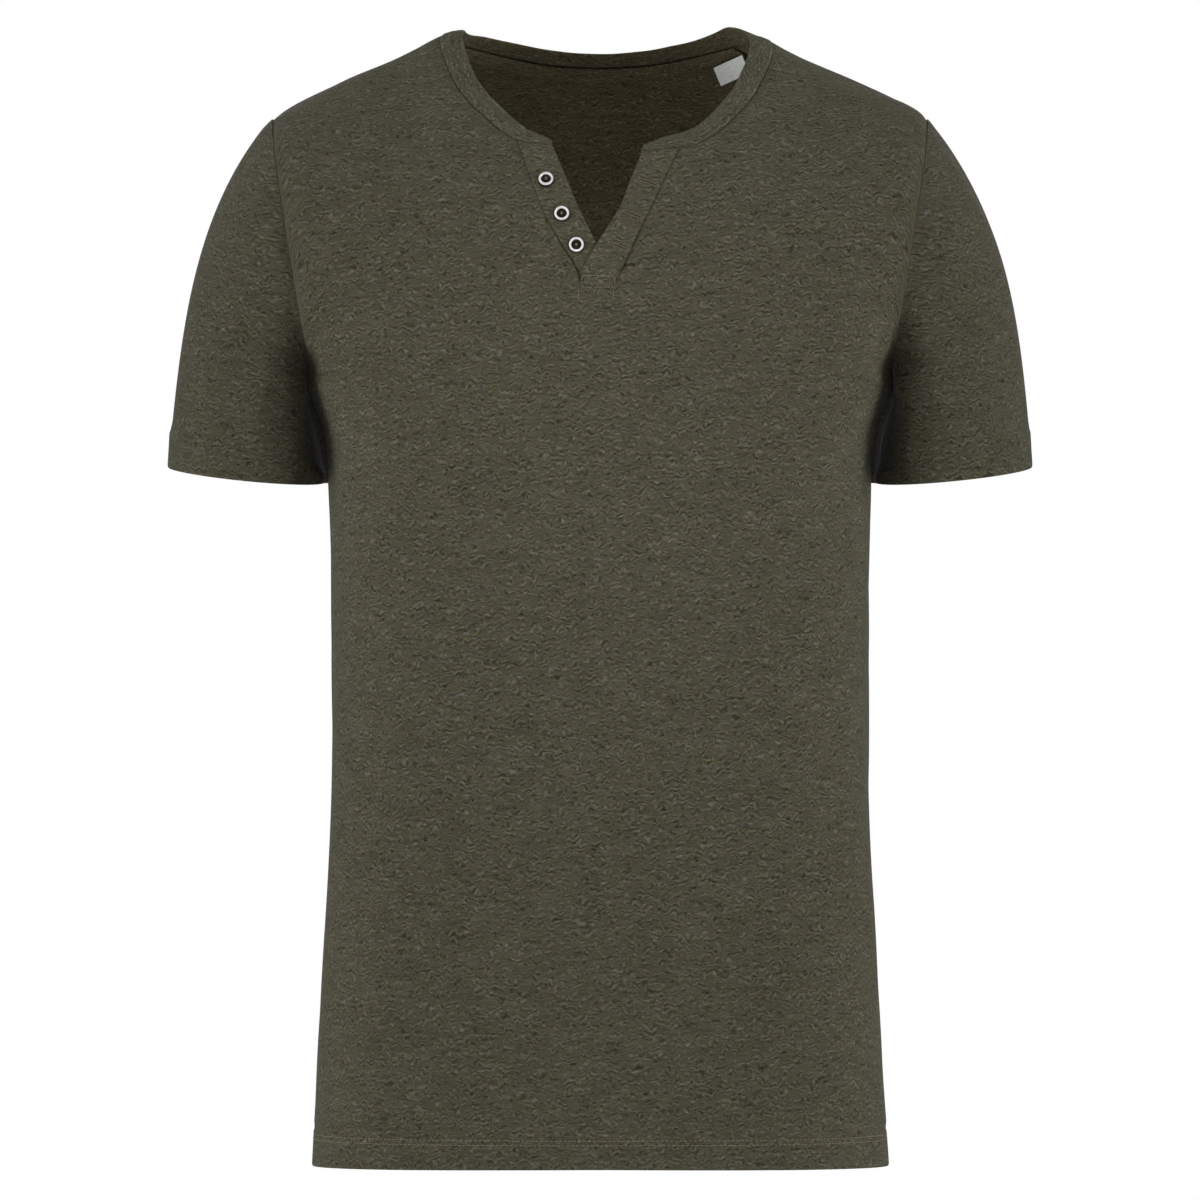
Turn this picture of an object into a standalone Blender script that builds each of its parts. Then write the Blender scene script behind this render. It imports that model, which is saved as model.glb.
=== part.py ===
"""A short-sleeved henley shirt, hollow as when worn.

Metres, +Z up. The front faces -Y and the wearer's left is +X. The origin lies between the two
points where the shoulders meet the neck, at the height of the neckband's top edge.

One trunk form gives the shape of the front and the back: superellipse sections whose depth is
rounded off towards the shoulder ridge. Panels are open sheets sampled on that form, and Solidify
gives each its wall. Sleeves are tubes lofted from the armhole to the cuff.
"""

import math
from collections import namedtuple

import bmesh
import bpy
from mathutils import Vector

# ---- Driving dimensions -------------------------------------------------------------------------

SEAM_GAP = 0.0003
CLOTH = 0.0014
DOUBLED = 0.0020
PLACKET_WALL = 0.0018
BAND_WALL = 0.0022
TAPE_WALL = 0.0010

HEM_SIDE_Z = -0.7170
HEM_CENTRE_RISE = 0.0025
HEM_DEPTH = 0.022
UNDERARM_Z = -0.2200
SHOULDER_POINT = (0.2060, -0.0570)
SHOULDER_SEAM_DROP = 0.0004
BACK_NECK_Z = -0.0198

ROUNDNESS = 2.4
ARMHOLE_HALF_DEPTH = 0.067

FRONT, BACK = -1, 1
WEARERS_LEFT, WEARERS_RIGHT = 1, -1

# Half width of the trunk at the side seams, and its depth before and behind them.
Section = namedtuple("Section", "z half_width front back")
TRUNK = (
    Section(-0.730, 0.1818, 0.1145, 0.1120),
    Section(-0.660, 0.1785, 0.1130, 0.1130),
    Section(-0.580, 0.1741, 0.1095, 0.1085),
    Section(-0.500, 0.1700, 0.1070, 0.0985),
    Section(-0.430, 0.1687, 0.1080, 0.0945),
    Section(-0.360, 0.1687, 0.1145, 0.1010),
    Section(-0.300, 0.1699, 0.1215, 0.1120),
    Section(-0.254, 0.1738, 0.1245, 0.1185),
    Section(-0.220, 0.1860, 0.1240, 0.1210),
    Section(-0.160, 0.1860, 0.1170, 0.1215),
    Section(-0.100, 0.1860, 0.1090, 0.1180),
    Section(-0.050, 0.1860, 0.1040, 0.1120),
    Section(0.010, 0.1860, 0.1000, 0.1080),
)

# The armhole seen from the front: how far out it lies at each height.
ArmholePoint = namedtuple("ArmholePoint", "z x")
ARMHOLE = (
    ArmholePoint(-0.2200, 0.1860),
    ArmholePoint(-0.2110, 0.1842),
    ArmholePoint(-0.1916, 0.1862),
    ArmholePoint(-0.1600, 0.1915),
    ArmholePoint(-0.1350, 0.1957),
    ArmholePoint(-0.1120, 0.1992),
    ArmholePoint(-0.0830, 0.2035),
    ArmholePoint(-0.0570, 0.2060),
    ArmholePoint(0.0100, 0.2060),
)

# The shoulder ridge, where front and back meet. Inside the neck it only guides the form.
RidgePoint = namedtuple("RidgePoint", "x z")
RIDGE = (
    RidgePoint(0.000, 0.0060),
    RidgePoint(0.060, 0.0045),
    RidgePoint(0.085, 0.0010),
    RidgePoint(0.100, -0.0037),
    RidgePoint(0.108, -0.0075),
    RidgePoint(0.117, -0.0126),
    RidgePoint(0.130, -0.0190),
    RidgePoint(0.160, -0.0317),
    RidgePoint(0.187, -0.0443),
    RidgePoint(0.199, -0.0512),
    RidgePoint(0.206, -0.0570),
    RidgePoint(0.226, -0.0760),
)
# How the cloth rounds off below the ridge: over what height, and how sharply near its top.
Rounding = namedtuple("Rounding", "x front_height front_power back_height back_power")
ROUNDINGS = (
    Rounding(0.000, 0.130, 1.40, 0.080, 1.80),
    Rounding(0.104, 0.125, 1.45, 0.085, 1.80),
    Rounding(0.160, 0.098, 1.72, 0.083, 1.88),
    Rounding(0.206, 0.075, 2.00, 0.075, 2.00),
    Rounding(0.226, 0.070, 2.00, 0.070, 2.00),
)

SeamPoint = namedtuple("SeamPoint", "x z")
# The neck seam of the front, from the placket strip up to the shoulder. It isn't quite even.
FRONT_NECK = {
    WEARERS_RIGHT: (
        SeamPoint(0.0519, -0.0738),
        SeamPoint(0.0620, -0.0672),
        SeamPoint(0.0725, -0.0580),
        SeamPoint(0.0820, -0.0490),
        SeamPoint(0.0905, -0.0375),
        SeamPoint(0.0965, -0.0250),
        SeamPoint(0.1000, -0.0150),
        SeamPoint(0.1010, -0.0075),
    ),
    WEARERS_LEFT: (
        SeamPoint(0.0502, -0.0778),
        SeamPoint(0.0620, -0.0750),
        SeamPoint(0.0745, -0.0675),
        SeamPoint(0.0860, -0.0567),
        SeamPoint(0.0965, -0.0442),
        SeamPoint(0.1030, -0.0319),
        SeamPoint(0.1070, -0.0235),
        SeamPoint(0.1092, -0.0140),
    ),
}
NECK_POINT_X = {WEARERS_RIGHT: 0.1000, WEARERS_LEFT: 0.1085}
# The neck seam of the back, from the centre out towards the shoulder.
BACK_NECK = (
    SeamPoint(0.0100, BACK_NECK_Z),
    SeamPoint(0.0340, -0.0182),
    SeamPoint(0.0560, -0.0144),
    SeamPoint(0.0730, -0.0108),
    SeamPoint(0.0865, -0.0079),
    SeamPoint(0.0945, -0.0065),
)
NECK_TURN_SHARE, NECK_TURN_DROP = 0.76, 0.0018

# The placket strips, from the bottom of the slit up: where each is sewn to the front, and its free
# edge. The strip on the wearer's right holds the buttons and lies under the other.
StripRow = namedtuple("StripRow", "seam_x seam_z free_x free_z")
STRIPS = {
    WEARERS_RIGHT: (
        StripRow(-0.0118, -0.1645, 0.0080, -0.1645),
        StripRow(-0.0157, -0.1530, 0.0045, -0.1530),
        StripRow(-0.0255, -0.1375, -0.0025, -0.1375),
        StripRow(-0.0367, -0.1150, -0.0136, -0.1150),
        StripRow(-0.0447, -0.0940, -0.0222, -0.0940),
        StripRow(-0.0519, -0.0738, -0.0294, -0.0768),
    ),
    WEARERS_LEFT: (
        StripRow(0.0087, -0.1645, -0.0112, -0.1645),
        StripRow(0.0144, -0.1530, -0.0101, -0.1530),
        StripRow(0.0213, -0.1375, -0.0013, -0.1375),
        StripRow(0.0324, -0.1150, 0.0123, -0.1150),
        StripRow(0.0421, -0.0940, 0.0205, -0.0940),
        StripRow(0.0502, -0.0778, 0.0262, -0.0805),
    ),
}
SLIT_Z = -0.1645
STRIP_SIDE_GAP = 0.0004
STRIP_END_GAP, STRIP_TOP_GAP = 0.0003, 0.0006
OVERLAP_Z, SIDE_BY_SIDE_Z = -0.1375, -0.1150
OVER_LIFT, UNDER_SINK = 0.0009, 0.0012

BAND_WIDTH = 0.0150
# How steeply the band stands on the neck: rise against run, before and behind, and at the shoulder.
BAND_SLOPE, BAND_SHOULDER_SLOPE = 0.62, 0.24
BAND_BULGE = 0.0006
BAND_SEAM_GAP = 0.0007
# The band's end is cut back from the V's corner: this runs from its seam edge to its top edge.
BAND_END = Vector((0.0051, 0.0058, 0.0058))
BAND_END_STATIONS = 4

CUFF_CENTRE = Vector((0.2235, 0.0, -0.2810))
CUFF_HALF_WIDTH, CUFF_HALF_DEPTH = 0.0485, 0.0670
CUFF_OUTER_RISE, CUFF_FRONT_DROP, CUFF_BACK_DROP = 0.0050, 0.0045, 0.0010
SLEEVE_HEM_DEPTH, SLEEVE_LENGTH = 0.018, 0.200
# Behind the underarm the sleeve is tucked in against the trunk's side, by this much at most.
CUFF_TUCK, LEAVE_TUCK = 0.0185, 0.0150

# How the sleeve leaves the armhole, how it reaches the cuff, and how far its edge stays off.
SleeveSide = namedtuple("SleeveSide", "leave arrive stand_off")
SLEEVE_SIDES = {
    "top": SleeveSide((0.046, 0.0, -0.041), (0.004, 0.0, -0.081), (0.0005, 0.0, -0.0003)),
    "front": SleeveSide((0.019, -0.004, -0.052), (0.000, 0.0, -0.050), (0.0011, 0.0, -0.0002)),
    "under": SleeveSide((0.001, 0.0, -0.020), (-0.002, 0.0, -0.024), (0.0021, 0.0, 0.0002)),
    "back": SleeveSide((0.019, 0.006, -0.052), (0.000, 0.0, -0.050), (0.0013, 0.0, -0.0002)),
}

# Soft folds, as ridges that run out from the armpit: where each starts, its heading from straight
# across, its length, its width and its height.
Fold = namedtuple("Fold", "side x z heading length width height")
FOLDS = (
    Fold(FRONT, 0.176, -0.208, 148, 0.080, 0.011, 0.0022),
    Fold(FRONT, 0.170, -0.240, 204, 0.070, 0.012, 0.0020),
    Fold(BACK, 0.176, -0.206, 146, 0.100, 0.013, 0.0030),
    Fold(BACK, 0.168, -0.244, 208, 0.090, 0.014, 0.0026),
)

BUTTON_RADIUS = 0.00465
# A button's section, from the middle of its face out over the rim and back under.
BUTTON_PROFILE = (
    (0.00000, 0.00110),
    (0.00300, 0.00110),
    (0.00345, 0.00185),
    (0.00400, 0.00215),
    (BUTTON_RADIUS, 0.00165),
    (BUTTON_RADIUS, 0.00070),
    (0.00400, 0.00000),
    (0.00000, 0.00000),
)
BUTTON_STEPS = 24
POINT_MERGE = 0.00005
BUTTONS = ((-0.0336, -0.0983), (-0.0238, -0.1198), (-0.0147, -0.1390))

TAPE_WIDTH = 0.0115
TAPE_START = 0.0003
# The label hangs free from its top edge, which these two points of the back give.
LABEL_TOP = (SeamPoint(0.0725, -0.0190), SeamPoint(0.0911, -0.0115))
LABEL_HANG = Vector((0.0045, -0.0010, -0.0117))
LABEL_STAND_OFF = 0.0044
INSIDE_STAND_OFF = 0.0027
WALK_STEP = 0.0005

# Steps along each stretch of a panel's rows, and across a half panel.
SIDE_SEAM_STEPS = 15
FRONT_STEPS_BELOW_SLIT = 3
BACK_STEPS_BELOW_NECK = 10
COLUMNS = 11
SLEEVE_STEPS = 11
STRIP_COLUMNS = 4
# Rows follow the ridge down to the first of these drops below it, and run straight past the second.
RIDGE_FOLLOWED = (0.03, 0.14)
# Passes that settle a row's height, as its width and the ridge depend on each other.
RIDGE_PASSES = 12
CENTRE_STRIP = 0.0100

OLIVE = (0.072, 0.067, 0.044)
OLIVE_INSIDE = (0.040, 0.036, 0.022)
PALE_LABEL = (0.60, 0.62, 0.58)
PEARL = (0.78, 0.77, 0.74)


# ---- Smooth tables ------------------------------------------------------------------------------


def smooth(table, key, column, at):
    """The table's column at this value of its key, on a cubic through its rows."""
    keys = [getattr(row, key) for row in table]
    values = [getattr(row, column) for row in table]
    at = min(max(at, keys[0]), keys[-1])
    last = len(keys) - 1
    i = next(n for n in range(last) if at <= keys[n + 1])

    def slope(n):
        low, high = max(n - 1, 0), min(n + 1, last)
        return (values[high] - values[low]) / (keys[high] - keys[low])

    step = keys[i + 1] - keys[i]
    t = (at - keys[i]) / step
    return (
        values[i] * (1 + 2 * t) * (1 - t) ** 2
        + slope(i) * step * t * (1 - t) ** 2
        + values[i + 1] * t * t * (3 - 2 * t)
        + slope(i + 1) * step * t * t * (t - 1)
    )


def eased(low, high, at):
    """0 at low, 1 at high, level at both."""
    t = min(max((at - low) / (high - low), 0.0), 1.0)
    return t * t * (3 - 2 * t)


def mix(a, b, share):
    return a + (b - a) * share


# ---- The trunk form -----------------------------------------------------------------------------


def section_depth(z, side):
    return smooth(TRUNK, "z", "front" if side == FRONT else "back", z)


def armhole_depth(z):
    """How far before or behind the side seam the armhole lies, with the shoulder's rounding off."""
    middle = (SHOULDER_POINT[1] + UNDERARM_Z) / 2
    below = min((z - middle) / (middle - UNDERARM_Z), 0.0)
    return ARMHOLE_HALF_DEPTH * math.sqrt(max(1 - below * below, 0.0))


def section_half_width(z, side):
    """Where the section would close. Above the underarm it lies in the sleeve, past the armhole."""
    if z <= UNDERARM_Z:
        return smooth(TRUNK, "z", "half_width", z)
    share = armhole_depth(z) / section_depth(z, side)
    return smooth(ARMHOLE, "z", "x", z) / (1 - share**ROUNDNESS) ** (1 / ROUNDNESS)


def ridge_z(x):
    return smooth(RIDGE, "x", "z", abs(x))


def rounding(x, z, side):
    """0 on the shoulder ridge, 1 well below it."""
    name = "front" if side == FRONT else "back"
    height = smooth(ROUNDINGS, "x", name + "_height", abs(x))
    power = smooth(ROUNDINGS, "x", name + "_power", abs(x))
    left = 1 - min(max((ridge_z(x) - z) / height, 0.0), 1.0)
    return (1 - left**power) ** (1 / power)


def fold_height(x, z, side):
    total = 0.0
    for fold in FOLDS:
        if fold.side != side:
            continue
        heading = math.radians(fold.heading)
        dx, dz = abs(x) - fold.x, z - fold.z
        along = (dx * math.cos(heading) + dz * math.sin(heading)) / fold.length
        across = (dz * math.cos(heading) - dx * math.sin(heading)) / fold.width
        if -0.3 < along < 1:
            share = eased(-0.3, 0.15, along) * (1 - eased(0.15, 1.0, along))
            total += fold.height * share * math.exp(-across * across)
    return total


def trunk_y(x, z, side):
    share = min(abs(x) / section_half_width(z, side), 1.0)
    depth = section_depth(z, side) * (1 - share**ROUNDNESS) ** (1 / ROUNDNESS)
    depth = depth * rounding(x, z, side) + fold_height(x, z, side) * eased(0.0, 0.04, depth)
    return side * max(depth, SEAM_GAP / 2)


def trunk_point(x, z, side):
    return Vector((x, trunk_y(x, z, side), z))


def trunk_normal(x, z, side):
    """Points out of the body."""
    across = trunk_point(x + WALK_STEP, z, side) - trunk_point(x - WALK_STEP, z, side)
    up = trunk_point(x, z + WALK_STEP, side) - trunk_point(x, z - WALK_STEP, side)
    return (across.cross(up) * -side).normalized()


# ---- Panels -------------------------------------------------------------------------------------


def row_across(start, end, side):
    """Points on the trunk from start to end, each an (x, z), evenly spread round the section."""

    def turn(x, z):
        return math.asin(min(abs(x) / section_half_width(z, side), 1.0) ** (ROUNDNESS / 2))

    hand = 1 if start[0] > 0 else -1
    turns = turn(*start), turn(*end)
    drops = [max(ridge_z(x) - z, 0.0) for x, z in (start, end)]
    follows_ridge = 1 - eased(*RIDGE_FOLLOWED, sum(drops) / 2)
    points = []
    for column in range(COLUMNS + 1):
        share = column / COLUMNS
        angle = mix(*turns, share)
        z = mix(start[1], end[1], share)
        for _ in range(RIDGE_PASSES):
            x = section_half_width(z, side) * math.sin(angle) ** (2 / ROUNDNESS)
            below_ridge = ridge_z(x) - mix(*drops, share)
            z = mix(mix(start[1], end[1], share), below_ridge, follows_ridge)
        points.append(trunk_point(hand * x, z, side))
    return points


def armhole_rows(steps):
    """(x, z) up the armhole from the underarm to the shoulder point, closer at its ends. The last
    row but one keeps the cloth level beside the shoulder seam."""
    middle = (SHOULDER_POINT[1] + UNDERARM_Z) / 2
    turns = [math.pi * step / (steps - 1) for step in range(1, steps)]
    heights = [middle - (middle - UNDERARM_Z) * math.cos(turn) for turn in turns]
    heights.insert(-1, SHOULDER_POINT[1] - SHOULDER_SEAM_DROP)
    return [(smooth(ARMHOLE, "z", "x", z), z) for z in heights]


def side_heights():
    """Heights of the rows from the hem to the underarm, one of them at the hem's stitching."""
    first = HEM_SIDE_Z + HEM_DEPTH
    rows = [mix(first, UNDERARM_Z, n / (SIDE_SEAM_STEPS - 1)) for n in range(SIDE_SEAM_STEPS)]
    return [HEM_SIDE_Z, *rows]


def half_panel(hand, side, inner_above):
    """Rows of points from the hem to the shoulder seam. inner_above lists each row's inner end
    above the underarm."""
    inner_x = inner_above[0][0]
    rows = []
    for z in side_heights():
        lift = HEM_CENTRE_RISE if z == HEM_SIDE_Z else 0.0
        end = (smooth(TRUNK, "z", "half_width", z), z)
        rows.append(row_across((hand * inner_x, z + lift), end, side))
    for inner, outer in zip(inner_above, armhole_rows(len(inner_above))):
        rows.append(row_across((hand * inner[0], inner[1]), outer, side))
    return rows


def shoulder_end(hand):
    """The last two points of the neck seam, beside the shoulder seam and on it."""
    x = NECK_POINT_X[hand]
    return [SeamPoint(x, ridge_z(x) - SHOULDER_SEAM_DROP), SeamPoint(x, ridge_z(x))]


def back_neck(hand):
    """The back's neck seam, with the turn it takes just behind the shoulder seam."""
    x = mix(BACK_NECK[-1].x, NECK_POINT_X[hand], NECK_TURN_SHARE)
    return [*BACK_NECK, SeamPoint(x, ridge_z(x) - NECK_TURN_DROP)]


def front_half(hand):
    slit = [SeamPoint(abs(row.seam_x), row.seam_z) for row in STRIPS[hand]]
    below = [
        (slit[0].x, mix(UNDERARM_Z, SLIT_Z, n / FRONT_STEPS_BELOW_SLIT))
        for n in range(1, FRONT_STEPS_BELOW_SLIT)
    ]
    neck = list(FRONT_NECK[hand][1:])
    return half_panel(hand, FRONT, below + slit + neck + shoulder_end(hand))


def back_half(hand):
    shares = [(n / BACK_STEPS_BELOW_NECK) ** 1.5 for n in range(BACK_STEPS_BELOW_NECK - 1, 0, -1)]
    below = [(CENTRE_STRIP, mix(BACK_NECK_Z, UNDERARM_Z, share)) for share in shares]
    return half_panel(hand, BACK, below + back_neck(hand) + shoulder_end(hand))


# ---- Meshes -------------------------------------------------------------------------------------


def sheet_faces(rows, columns, closed=False):
    """Index quads of a grid of points, row after row. A closed grid joins each row's two ends."""
    wide = columns if closed else columns - 1
    return [
        (
            row * columns + column,
            row * columns + (column + 1) % columns,
            (row + 1) * columns + (column + 1) % columns,
            (row + 1) * columns + column,
        )
        for row in range(rows - 1)
        for column in range(wide)
    ]


def make_material(name, colour, roughness, metallic=0.0):
    material = bpy.data.materials.new(name)
    material.use_nodes = True
    shader = material.node_tree.nodes["Principled BSDF"]
    shader.inputs["Base Color"].default_value = (*colour, 1.0)
    shader.inputs["Roughness"].default_value = roughness
    shader.inputs["Metallic"].default_value = metallic
    return material


def make_cloth(name, points, faces, wall, material, doubled=()):
    """A sheet given its wall by Solidify, half to each side. The points numbered in doubled have
    the full wall, where a hem turns the cloth back, and the rest have CLOTH."""
    mesh = bpy.data.meshes.new(name)
    mesh.from_pydata([tuple(point) for point in points], [], faces)
    shape = bmesh.new()
    shape.from_mesh(mesh)
    bmesh.ops.recalc_face_normals(shape, faces=shape.faces)
    shape.to_mesh(mesh)
    shape.free()
    mesh.shade_smooth()
    mesh.materials.append(material)
    thing = bpy.data.objects.new(name, mesh)
    shirt.objects.link(thing)
    solidify = thing.modifiers.new("Wall", "SOLIDIFY")
    solidify.thickness = wall
    solidify.offset = 0.0
    if doubled:
        group = thing.vertex_groups.new(name="Wall share")
        group.add(range(len(points)), CLOTH / wall, "REPLACE")
        group.add(list(doubled), 1.0, "REPLACE")
        solidify.vertex_group = group.name


def make_panel(name, right, left, joined_rows, material):
    """Both halves in one sheet, with a strip down the centre between their first joined_rows."""
    columns = COLUMNS + 1
    points = [point for half in (right, left) for row in half for point in row]
    offset = len(right) * columns
    faces = sheet_faces(len(right), columns)
    faces += [tuple(offset + index for index in face) for face in faces]
    faces += [
        (row * columns, (row + 1) * columns, offset + (row + 1) * columns, offset + row * columns)
        for row in range(joined_rows - 1)
    ]
    hem_rows = [half + n for half in (0, offset) for n in range(2 * columns)]
    make_cloth(name, points, faces, DOUBLED, material, hem_rows)


# ---- Sleeves ------------------------------------------------------------------------------------


def sleeve_blend(turn, name):
    """The named column of SLEEVE_SIDES at this turn round the sleeve: 0 is its top, 90 degrees its
    front and 180 degrees its underarm."""
    shares = {
        "top": max(math.cos(turn), 0.0) ** 2,
        "under": max(-math.cos(turn), 0.0) ** 2,
        "front": max(math.sin(turn), 0.0) ** 2,
        "back": max(-math.sin(turn), 0.0) ** 2,
    }
    total = Vector()
    for side, share in shares.items():
        total += Vector(getattr(SLEEVE_SIDES[side], name)) * share
    return total


def tuck(turn):
    """1 near the middle of the stretch from the underarm to the back, 0 outside it."""
    return 4 * max(-math.cos(turn), 0.0) * max(-math.sin(turn), 0.0) ** 3


def cuff_point(turn):
    drop = CUFF_FRONT_DROP if math.sin(turn) > 0 else CUFF_BACK_DROP
    return CUFF_CENTRE + Vector(
        (
            CUFF_HALF_WIDTH * math.cos(turn) - CUFF_TUCK * tuck(turn),
            -CUFF_HALF_DEPTH * math.sin(turn),
            CUFF_OUTER_RISE * math.cos(turn) - drop * abs(math.sin(turn)),
        )
    )


def sleeve_rings(armhole):
    """Rings of points from the armhole to the cuff, on the wearer's left."""
    middle = (SHOULDER_POINT[1] + UNDERARM_Z) / 2
    columns = []
    for point in armhole:
        turn = math.atan2(
            -point.y / ARMHOLE_HALF_DEPTH, (point.z - middle) / (middle - UNDERARM_Z)
        )
        start = point + sleeve_blend(turn, "stand_off")
        end = cuff_point(turn)
        leave = sleeve_blend(turn, "leave") - Vector((LEAVE_TUCK * tuck(turn), 0.0, 0.0))
        columns.append((start, start + leave, end - sleeve_blend(turn, "arrive"), end))
    rings = []
    shares = [n / (SLEEVE_STEPS - 1) for n in range(SLEEVE_STEPS - 1)]
    hem_share = 1 - SLEEVE_HEM_DEPTH / SLEEVE_LENGTH
    for share in [value * hem_share for value in shares] + [hem_share, 1.0]:
        rings.append([bezier(column, share) for column in columns])
    return rings


def bezier(controls, share):
    a, b, c, d = controls
    rest = 1 - share
    return a * rest**3 + b * (3 * rest**2 * share) + c * (3 * rest * share**2) + d * share**3


def make_sleeve(name, hand, front, back, material):
    """front and back are the half panels beside it, and their outer ends give the armhole."""
    first = len(side_heights()) - 1
    armhole = [row[-1].copy() for row in reversed(front[first:])]
    armhole += [row[-1].copy() for row in back[first + 1 : -1]]
    for point in armhole:
        point.x = abs(point.x)
    rings = sleeve_rings(armhole)
    points = [Vector((hand * p.x, p.y, p.z)) for ring in rings for p in ring]
    count = len(armhole)
    faces = sheet_faces(len(rings), count, closed=True)
    hem = range(len(points) - 2 * count, len(points))
    make_cloth(name, points, faces, DOUBLED, material, hem)


# ---- Neckband, plackets, tape and label -----------------------------------------------------------


def neck_seam():
    """(x, z, side) all round the neck seam, from the V's corner on the wearer's right, round the
    back, to the one on the left."""
    halves = []
    for hand in (WEARERS_RIGHT, WEARERS_LEFT):
        top = STRIPS[hand][-1]
        half = [strip_place(top, share) + (FRONT,) for share in (1.0, 0.75, 0.5, 0.25)]
        half += [(hand * p.x, p.z, FRONT) for p in FRONT_NECK[hand]]
        half += [(hand * p.x, p.z, FRONT) for p in shoulder_end(hand)]
        half += [(hand * p.x, p.z, BACK) for p in shoulder_end(hand)[:1]]
        half += [(hand * p.x, p.z, BACK) for p in reversed(back_neck(hand))]
        halves.append(half)
    return halves[0] + halves[1][::-1]


def band_across(seam, from_end):
    """The band's way from its seam edge to its top edge: in towards the neck, and up."""
    inward = Vector((-seam.x, -seam.y, 0.0)).normalized()
    slope = mix(BAND_SLOPE, BAND_SHOULDER_SLOPE, inward.x**4)
    full = (inward + Vector((0.0, 0.0, slope))).normalized() * BAND_WIDTH
    end = Vector((math.copysign(BAND_END.x, seam.x), BAND_END.y, BAND_END.z))
    return mix(end, full, min(from_end / BAND_END_STATIONS, 1.0))


def make_neckband(material):
    seam = neck_seam()
    points = []
    for number, (x, z, side) in enumerate(seam):
        base = trunk_point(x, z, side)
        across = band_across(base, min(number, len(seam) - 1 - number))
        base += across.normalized() * BAND_SEAM_GAP
        along = Vector((-base.y, base.x, 0.0))
        out = along.cross(across).normalized() * -BAND_BULGE
        points += [base, base + across * 0.5 + out, base + across]
    faces = sheet_faces(len(seam), 3)
    make_cloth("neckband", points, faces, BAND_WALL, material)


def strip_place(row, share):
    """(x, z) this share of the way across a strip, from its seam to its free edge."""
    return mix(row.seam_x, row.free_x, share), mix(row.seam_z, row.free_z, share)


def placket_level(z, full):
    """How far a strip lies off the front's middle: full where the two lie on each other."""
    return full * (1 - eased(OVERLAP_Z, SIDE_BY_SIDE_Z, z))


def cut_back(end, beyond, gap):
    """The end row of a strip, moved towards the next row by the gap its seam leaves."""
    share = gap / abs(beyond.seam_z - end.seam_z)
    return StripRow(*(mix(a, b, share) for a, b in zip(end, beyond)))


def make_placket(name, hand, full_level, material):
    """A strip from the slit's cut edge to its own free edge."""
    rows = list(STRIPS[hand])
    rows[0] = cut_back(rows[0], rows[1], STRIP_END_GAP)
    rows[-1] = cut_back(rows[-1], rows[-2], STRIP_TOP_GAP)
    points = []
    for row in rows:
        for column in range(STRIP_COLUMNS + 1):
            share = column / STRIP_COLUMNS
            x, z = strip_place(row, share)
            x -= hand * STRIP_SIDE_GAP * (1 - share)
            out = trunk_normal(x, z, FRONT)
            points.append(trunk_point(x, z, FRONT) + out * placket_level(z, full_level))
    faces = sheet_faces(len(rows), STRIP_COLUMNS + 1)
    make_cloth(name, points, faces, PLACKET_WALL, material)


def below_seam(x, z, distance):
    """The (x, z) this far down the back from a point of its neck seam."""
    place = trunk_point(x, z, BACK)
    steps = round(distance / WALK_STEP)
    for _ in range(steps):
        out = trunk_normal(place.x, place.z, BACK)
        along = Vector((-place.y, place.x, 0.0)).normalized()
        down = out.cross(along) * (distance / steps)
        moved = place + down * math.copysign(1.0, -down.z)
        place = trunk_point(moved.x, moved.z, BACK)
    return place.x, place.z


def back_point(x, z, inside):
    return trunk_point(x, z, BACK) - trunk_normal(x, z, BACK) * inside


def make_tape(material):
    half = BACK_NECK[:-1]
    seam = [(-p.x, p.z) for p in reversed(half)] + [(p.x, p.z) for p in half]
    points = []
    for x, z in seam:
        for share in (0.0, 0.5, 1.0):
            place = below_seam(x, z, TAPE_START + TAPE_WIDTH * share)
            points.append(back_point(*place, INSIDE_STAND_OFF))
    make_cloth("neck_tape", points, sheet_faces(len(seam), 3), TAPE_WALL, material)


def make_label(material):
    ends = [back_point(*point, LABEL_STAND_OFF) for point in LABEL_TOP]
    shares = (0.0, 0.5, 1.0)
    points = [mix(*ends, across) + LABEL_HANG * down for across in shares for down in shares]
    make_cloth("size_label", points, sheet_faces(3, 3), TAPE_WALL, material)


# ---- Buttons --------------------------------------------------------------------------------------


def make_button(number, x, z, material):
    """A turned disc with a raised rim, seated on the under strip."""
    name = f"button_{number}"
    mesh = bpy.data.meshes.new(name)
    profile = [(radius, 0.0, height) for radius, height in BUTTON_PROFILE]
    mesh.from_pydata(profile, [(n, n + 1) for n in range(len(profile) - 1)], [])
    mesh.materials.append(material)
    button = bpy.data.objects.new(name, mesh)
    shirt.objects.link(button)
    screw = button.modifiers.new("Turned", "SCREW")
    screw.steps = screw.render_steps = BUTTON_STEPS
    screw.use_merge_vertices = True
    screw.merge_threshold = POINT_MERGE
    screw.use_smooth_shade = True
    out = trunk_normal(x, z, FRONT)
    level = placket_level(z, -UNDER_SINK) + PLACKET_WALL / 2 + SEAM_GAP
    button.location = trunk_point(x, z, FRONT) + out * level
    button.rotation_mode = "QUATERNION"
    button.rotation_quaternion = out.to_track_quat("Z", "Y")


# ---- The shirt ------------------------------------------------------------------------------------


def clear_scene():
    for thing in list(bpy.data.objects):
        bpy.data.objects.remove(thing, do_unlink=True)


def make_collection(name):
    collection = bpy.data.collections.new(name)
    bpy.context.scene.collection.children.link(collection)
    return collection


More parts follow.
